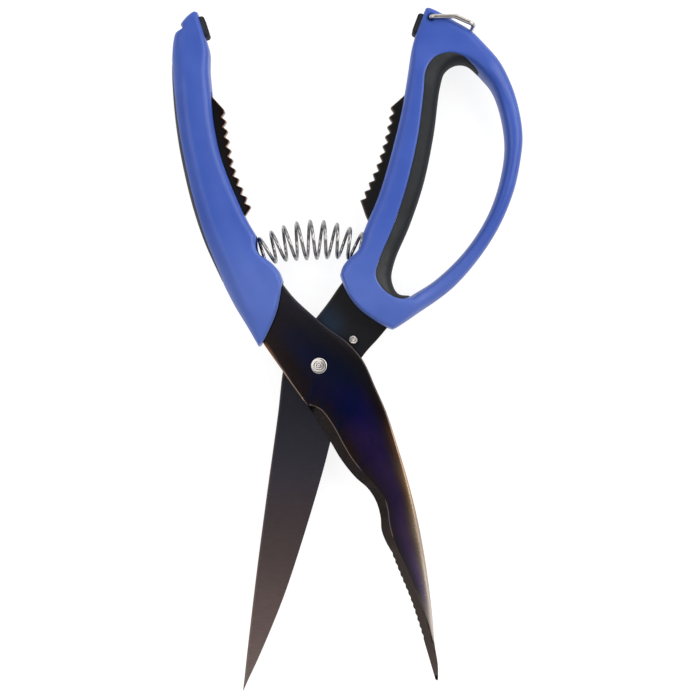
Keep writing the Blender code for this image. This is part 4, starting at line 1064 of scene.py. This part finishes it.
def lever_handle(blue, rubber):
    step = 0.9
    outer = through(LEVER_OUTER, step)
    others = [through(run, step) for run in (LEVER_TOP, LEVER_STRIKE, LEVER_INNER, LEVER_SCOOP, LEVER_END)]
    border = joined(*[
        through(run, 0.6)
        for run in (LEVER_TOP, LEVER_STRIKE, LEVER_INNER, LEVER_SCOOP, LEVER_END, LEVER_OUTER)
    ])
    first, last = (int(np.argmin(np.abs(outer[:, 1] - y))) for y in (LEVER_GRIP_FROM_Y, LEVER_GRIP_TO_Y))
    stretch = outer[first : last + 1, :2]
    ease = np.sin(np.linspace(0, math.pi, len(stretch))) ** 0.5
    inward = -normals_of(stretch, closed=False)
    seam = stretch + (LEVER_GRIP_DEPTH * ease)[:, None] * inward
    height = grooved(padded_height([border], lever_crown), seam)
    strip = np.vstack([stretch[1:-1], seam[-2:0:-1]])
    blue_outer = np.vstack([outer[:first, :2], seam + SEAM_GAP * inward, outer[last + 1 :, :2]])
    outline = joined(*[run[:, :2] for run in others], blue_outer)
    ends = joined(
        *[np.array(p)[:, :2] for p in (through(LEVER_SCOOP, 1.0), through(LEVER_END, 1.0))], closed=False
    )
    handle = relief(
        "lever_handle_fine", [outline], height, mirrored(height), blue,
        rows=(0.06, 0.2, 0.45, 0.8, 1.3, 2.0, 2.8),
        grid=1.0, marks={"painted_light": painted_light_near(ends)},
    )
    grip = relief(
        "lever_grip_fine", [strip], height, mirrored(height), rubber, rows=(0.1, 0.3, 0.6),
        marks={"face": lambda p: np.full(len(p), 0.9)},
    )
    back = shifted(through(FRONT_TANG_BACK, 2.0)[:-5], TANG_PLAY)
    front = shifted(through(FRONT_TANG_FRONT, 2.0)[4:], TANG_PLAY)
    slot = tang_slot(
        "cutter_front_tang", [back, [(-36.5, 101.2), (-20.0, 90.0), (-15.0, 60.0)], front],
        [(-8.0, 24.0), (-16.0, 2.0)],
        FRONT_BOTTOM - TANG_PLAY, FRONT_TOP + TANG_PLAY,
    )
    cut(
        handle, slot, spring_pocket("cutter_left_pocket", SPRING_LEFT_DEG, 1),
        bumper_recess("cutter_left", LEVER_STRIKE), latch_notch()
    )
    return handle, grip, bumper("lever_bumper_fine", LEVER_STRIKE, rubber)


def loop_handle(blue, rubber):
    step = 0.9
    outer = [through(run, step) for run in (LOOP_OUTER, LOOP_END, LOOP_INNER, LOOP_STRIKE)]
    grip_side, bow_side = (through(run, step) for run in (HOLE_GRIP_SIDE, HOLE_BOW_SIDE))
    fine = joined(*[through(run, 0.6) for run in (LOOP_OUTER, LOOP_END, LOOP_INNER, LOOP_STRIKE)])
    fine_hole = joined(through(HOLE_GRIP_SIDE, 0.6), through(HOLE_BOW_SIDE, 0.6))
    seam = through(LOOP_SEAM, step)
    height = grooved(padded_height([fine, fine_hole], loop_crown), seam)
    opening = joined(bow_side[:, :2], shifted(seam, -SEAM_GAP / 2)[1:-1])
    outline = joined(*[run[:, :2] for run in outer])
    ends = np.array(through(LOOP_END, 1.0))[:, :2]
    handle = relief(
        "loop_handle_fine", [outline, opening], height, mirrored(height), blue,
        rows=(0.06, 0.2, 0.45, 0.8, 1.3, 2.0, 2.8), grid=1.1,
        marks={"painted_light": painted_light_near(ends)},
    )
    pad = joined(grip_side[1:-1, :2], shifted(seam, SEAM_GAP / 2)[::-1][1:-1])
    # the face mark paints shade where the rubber rolls towards the hole, and painted light lower down
    grip = relief(
        "loop_grip_fine", [pad], height, mirrored(height), rubber, rows=(0.06, 0.2, 0.45, 0.8, 1.3, 2.0),
        grid=1.0,
        marks={"face": lambda p: 0.6 * smoothstep((distance_to(p, grip_side) - 0.8) / 2.4) + painted_light_low(p)},
    )
    back = shifted(through(REAR_TANG_BACK, 2.0)[6:], TANG_PLAY)
    front = shifted(through(REAR_TANG_FRONT, 2.0)[:-4], TANG_PLAY)
    slot = tang_slot(
        "cutter_rear_tang", [back, [(22.0, 8.0), (2.0, 24.0)], front],
        [(12.0, 56.0), (18.0, 92.0), (30.0, 102.0)],
        REAR_BOTTOM - TANG_PLAY, REAR_TOP + TANG_PLAY,
    )
    bore = [
        (0, -HANDLE_HALF), (BAIL_HOLE + 1.0, -HANDLE_HALF), (BAIL_HOLE + 1.0, -TIP_HALF - 0.4),
        (BAIL_HOLE, -TIP_HALF + 0.7),
        (BAIL_HOLE, TIP_HALF - 0.7), (BAIL_HOLE + 1.0, TIP_HALF + 0.4), (BAIL_HOLE + 1.0, HANDLE_HALF),
        (0, HANDLE_HALF),
    ]
    hole = turned("cutter_bail_hole", bore, (*BAIL_AT, 0), None, count=32)
    cut(
        handle, slot, spring_pocket("cutter_right_pocket", SPRING_RIGHT_DEG, -1),
        bumper_recess("cutter_right", LOOP_STRIKE), hole
    )
    return handle, grip, bumper("loop_bumper_fine", LOOP_STRIKE, rubber)


# ---- the wires ----
def return_spring(finish):
    """A barrel-shaped coil spring, bent along an arc about the outlines' zero."""
    path = []
    for share in np.linspace(0, 1, int(SPRING_TURNS * 40) + 1):
        degrees = SPRING_LEFT_DEG + (SPRING_RIGHT_DEG - SPRING_LEFT_DEG) * share
        around = 2 * math.pi * (SPRING_TURNS * share + COIL_START)
        coil = COIL_END + COIL_SWELL * math.exp(-(((degrees - COIL_MIDDLE_DEG) / COIL_SPREAD_DEG) ** 2))
        radius, angle = SPRING_RADIUS + coil * math.cos(around), math.radians(degrees)
        path.append((radius * math.sin(angle), radius * math.cos(angle), coil * math.sin(around)))
    return wire("return_spring_fine", path, SPRING_WIRE / 2, finish, around=12)


def rounded_path(corners, radius, count=7):
    """A path with each corner replaced by an arc of about that radius, given per corner."""
    corners = [np.array(c, float) for c in corners]
    path = [corners[0]]
    for before, at, after, r in zip(corners, corners[1:], corners[2:], radius):
        back, ahead = (before - at), (after - at)
        back, ahead = back / np.linalg.norm(back), ahead / np.linalg.norm(ahead)
        bend = math.acos(np.clip(back @ ahead, -1, 1)) / 2
        middle = at + (back + ahead) / np.linalg.norm(back + ahead) * r / math.sin(bend)
        start, end = at + back * r / math.tan(bend) - middle, at + ahead * r / math.tan(bend) - middle
        swing = math.acos(np.clip(start @ end / r ** 2, -1, 1))
        for share in np.linspace(0, 1, count):
            path.append(
                middle
                + (math.sin((1 - share) * swing) * start + math.sin(share * swing) * end) / math.sin(swing)
            )
    return np.array(path + [corners[-1]])


def bail(finish):
    """A bent wire loop. Its two ends turn into the loop handle's cross hole."""
    knee, bar, z = BAIL_KNEE, BAIL_REACH, BAIL_ARM_Z
    corners = [
        (0, 0, BAIL_END_Z), (0, 0, z), (*knee, z), (*bar, z), (*bar, -z), (*knee, -z), (0, 0, -z),
        (0, 0, -BAIL_END_Z)
    ]
    path = rounded_path(corners, [1.15, 3.0, 1.9, 1.9, 3.0, 1.15])
    fine = [path[0]]
    for a, b in zip(path, path[1:]):
        steps = max(1, math.ceil(np.linalg.norm(b - a) / 0.8))
        fine += [a + (b - a) * i / steps for i in range(1, steps + 1)]
    thing = wire("lock_bail_fine", fine, BAIL_WIRE, finish, around=20)
    thing.location = ZERO + BAIL_PLACE * MM
    return thing


# ---- the room ----
def plain_grid(name, size, count, height, finish):
    build = bmesh.new()
    bmesh.ops.create_grid(build, x_segments=count, y_segments=count, size=size / MM)
    thing = object_of(name, build, finish)
    thing.location = (0, 0, height)
    return thing


def floor():
    f = Finish("pale_floor")
    grain = f.noise(f.place(), 400.0, 2.0)
    f.set(Base_Color=f.ramp(grain, [(0.3, (134, 134, 134)), (0.7, (140, 140, 140))]), Roughness=0.95)
    f.set(Emission_Color=(1, 1, 1, 1), Emission_Strength=0.84, Specular_IOR_Level=0.0)
    thing = plain_grid("floor", 1.6, 4, -0.0006, f.material)


def soft_box(name, place, size, power, look_at):
    light = bpy.data.lights.new(name, "AREA")
    light.shape = "RECTANGLE"
    light.size, light.size_y = size
    light.energy = power
    thing = bpy.data.objects.new(name, light)
    bpy.context.scene.collection.objects.link(thing)
    thing.location = place
    thing.rotation_euler = (Vector(look_at) - Vector(place)).to_track_quat("-Z", "Y").to_euler()


def room():
    """A white room, dimmer straight overhead, where the camera hangs."""
    world = bpy.data.worlds.new("studio")
    bpy.context.scene.world = world
    world.use_nodes = True
    tree = world.node_tree
    coordinates = tree.nodes.new("ShaderNodeTexCoord")
    parts = tree.nodes.new("ShaderNodeSeparateXYZ")
    ramp = tree.nodes.new("ShaderNodeValToRGB")
    tree.links.new(coordinates.outputs["Generated"], parts.inputs[0])
    tree.links.new(parts.outputs["Z"], ramp.inputs["Fac"])
    bands = ramp.color_ramp.elements
    greys = [(0.0, 0.7), (0.35, 1.0), (0.72, 1.0), (0.84, 0.42), (0.92, 0.34), (0.98, 0.4)]
    for _ in greys[2:]:
        bands.new(0.5)
    for band, (height, grey) in zip(bands, greys):
        band.position = height
        band.color = (grey, grey, grey, 1)
    tree.links.new(ramp.outputs["Color"], tree.nodes["Background"].inputs["Color"])
    tree.nodes["Background"].inputs["Strength"].default_value = 0.85
    soft_box("key_right", (0.62, 0.28, 0.52), (0.5, 0.7), 5.0, (0, 0.02, 0))
    soft_box("fill_left", (-0.42, 0.15, 0.75), (0.25, 0.7), 2.0, (0, 0.02, 0))
    soft_box("strip_behind", (0.05, 0.72, 0.5), (1.0, 0.22), 1.6, (0, 0.02, 0))


def camera():
    data = bpy.data.cameras.new("view")
    data.type = "PERSP"
    data.sensor_width = 36.0
    data.angle = math.radians(VIEW_DEG)
    data.clip_start, data.clip_end = 0.01, 20
    thing = bpy.data.objects.new("view", data)
    bpy.context.scene.collection.objects.link(thing)
    thing.location = (*VIEW_OVER, PIVOT.z + VIEW_HEIGHT)
    thing.rotation_euler = (0, 0, 0)
    bpy.context.scene.camera = thing
    bpy.context.scene.view_settings.view_transform = "Standard"


def held_in_box(piece):
    """Moves any point that a rounding error puts outside the CAD's box back onto it."""
    for vertex in piece.data.vertices:
        place = piece.location + vertex.co
        for axis in range(3):
            place[axis] = min(max(place[axis], CAD_LOW[axis]), CAD_HIGH[axis])
        vertex.co = place - piece.location


def stand_in(piece, node, body):
    held_in_box(piece)
    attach(piece, body)
    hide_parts(node)


def main():
    # the third colour is painted light: a paler blue for the highlight along the thin ends and for light
    # lower down
    blue = moulded_plastic(
        "blue_polypropylene", [(0.35, (39, 69, 150)), (0.65, (47, 76, 158))], (112, 132, 196), 0.4
    )
    # rubber greys: painted shade where it rolls away, its face, and a lighter grey that the painted light
    # lower down also reaches
    rubber = soft_rubber("grey_soft_grip", (25, 26, 30), (38, 40, 42), (66, 66, 66), 0.7)
    steel = turned_steel("turned_bright_steel")
    stand_in(front_blade(), "front_blade", "front_arm")
    stand_in(rear_blade(), "rear_blade", "rear_arm")
    for piece, node in zip(fasteners(steel), ("pivot_stud", "pivot_washer", "pivot_nut", "stop_pin")):
        stand_in(piece, node, "rear_arm")
    handle, grip, buffer = lever_handle(blue, rubber)
    stand_in(handle, "lever_handle", "front_arm")
    stand_in(grip, "lever_grip", "front_arm")
    stand_in(buffer, "lever_bumper", "front_arm")
    handle, grip, buffer = loop_handle(blue, rubber)
    stand_in(handle, "loop_handle", "rear_arm")
    stand_in(grip, "loop_grip", "rear_arm")
    stand_in(buffer, "loop_bumper", "rear_arm")
    stand_in(
        bail(drawn_wire("bail_steel", (158, 153, 147), (206, 200, 192), 0.08)), "lock_bail", "lock_bail",
    )

    spring = return_spring(drawn_wire("spring_steel", (112, 110, 110), (164, 161, 158), 0.14))
    left, right = (
        SPRING_RADIUS * np.array([math.sin(math.radians(d)), math.cos(math.radians(d)), 0])
        for d in (SPRING_LEFT_DEG, SPRING_RIGHT_DEG)
    )
    past = SPRING_EASE * (left - right)
    start, end = (ZERO + Vector(point) * MM for point in (right - past, left + past))
    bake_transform(spring)
    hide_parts("return_spring")
    floor()
    room()
    camera()


main()
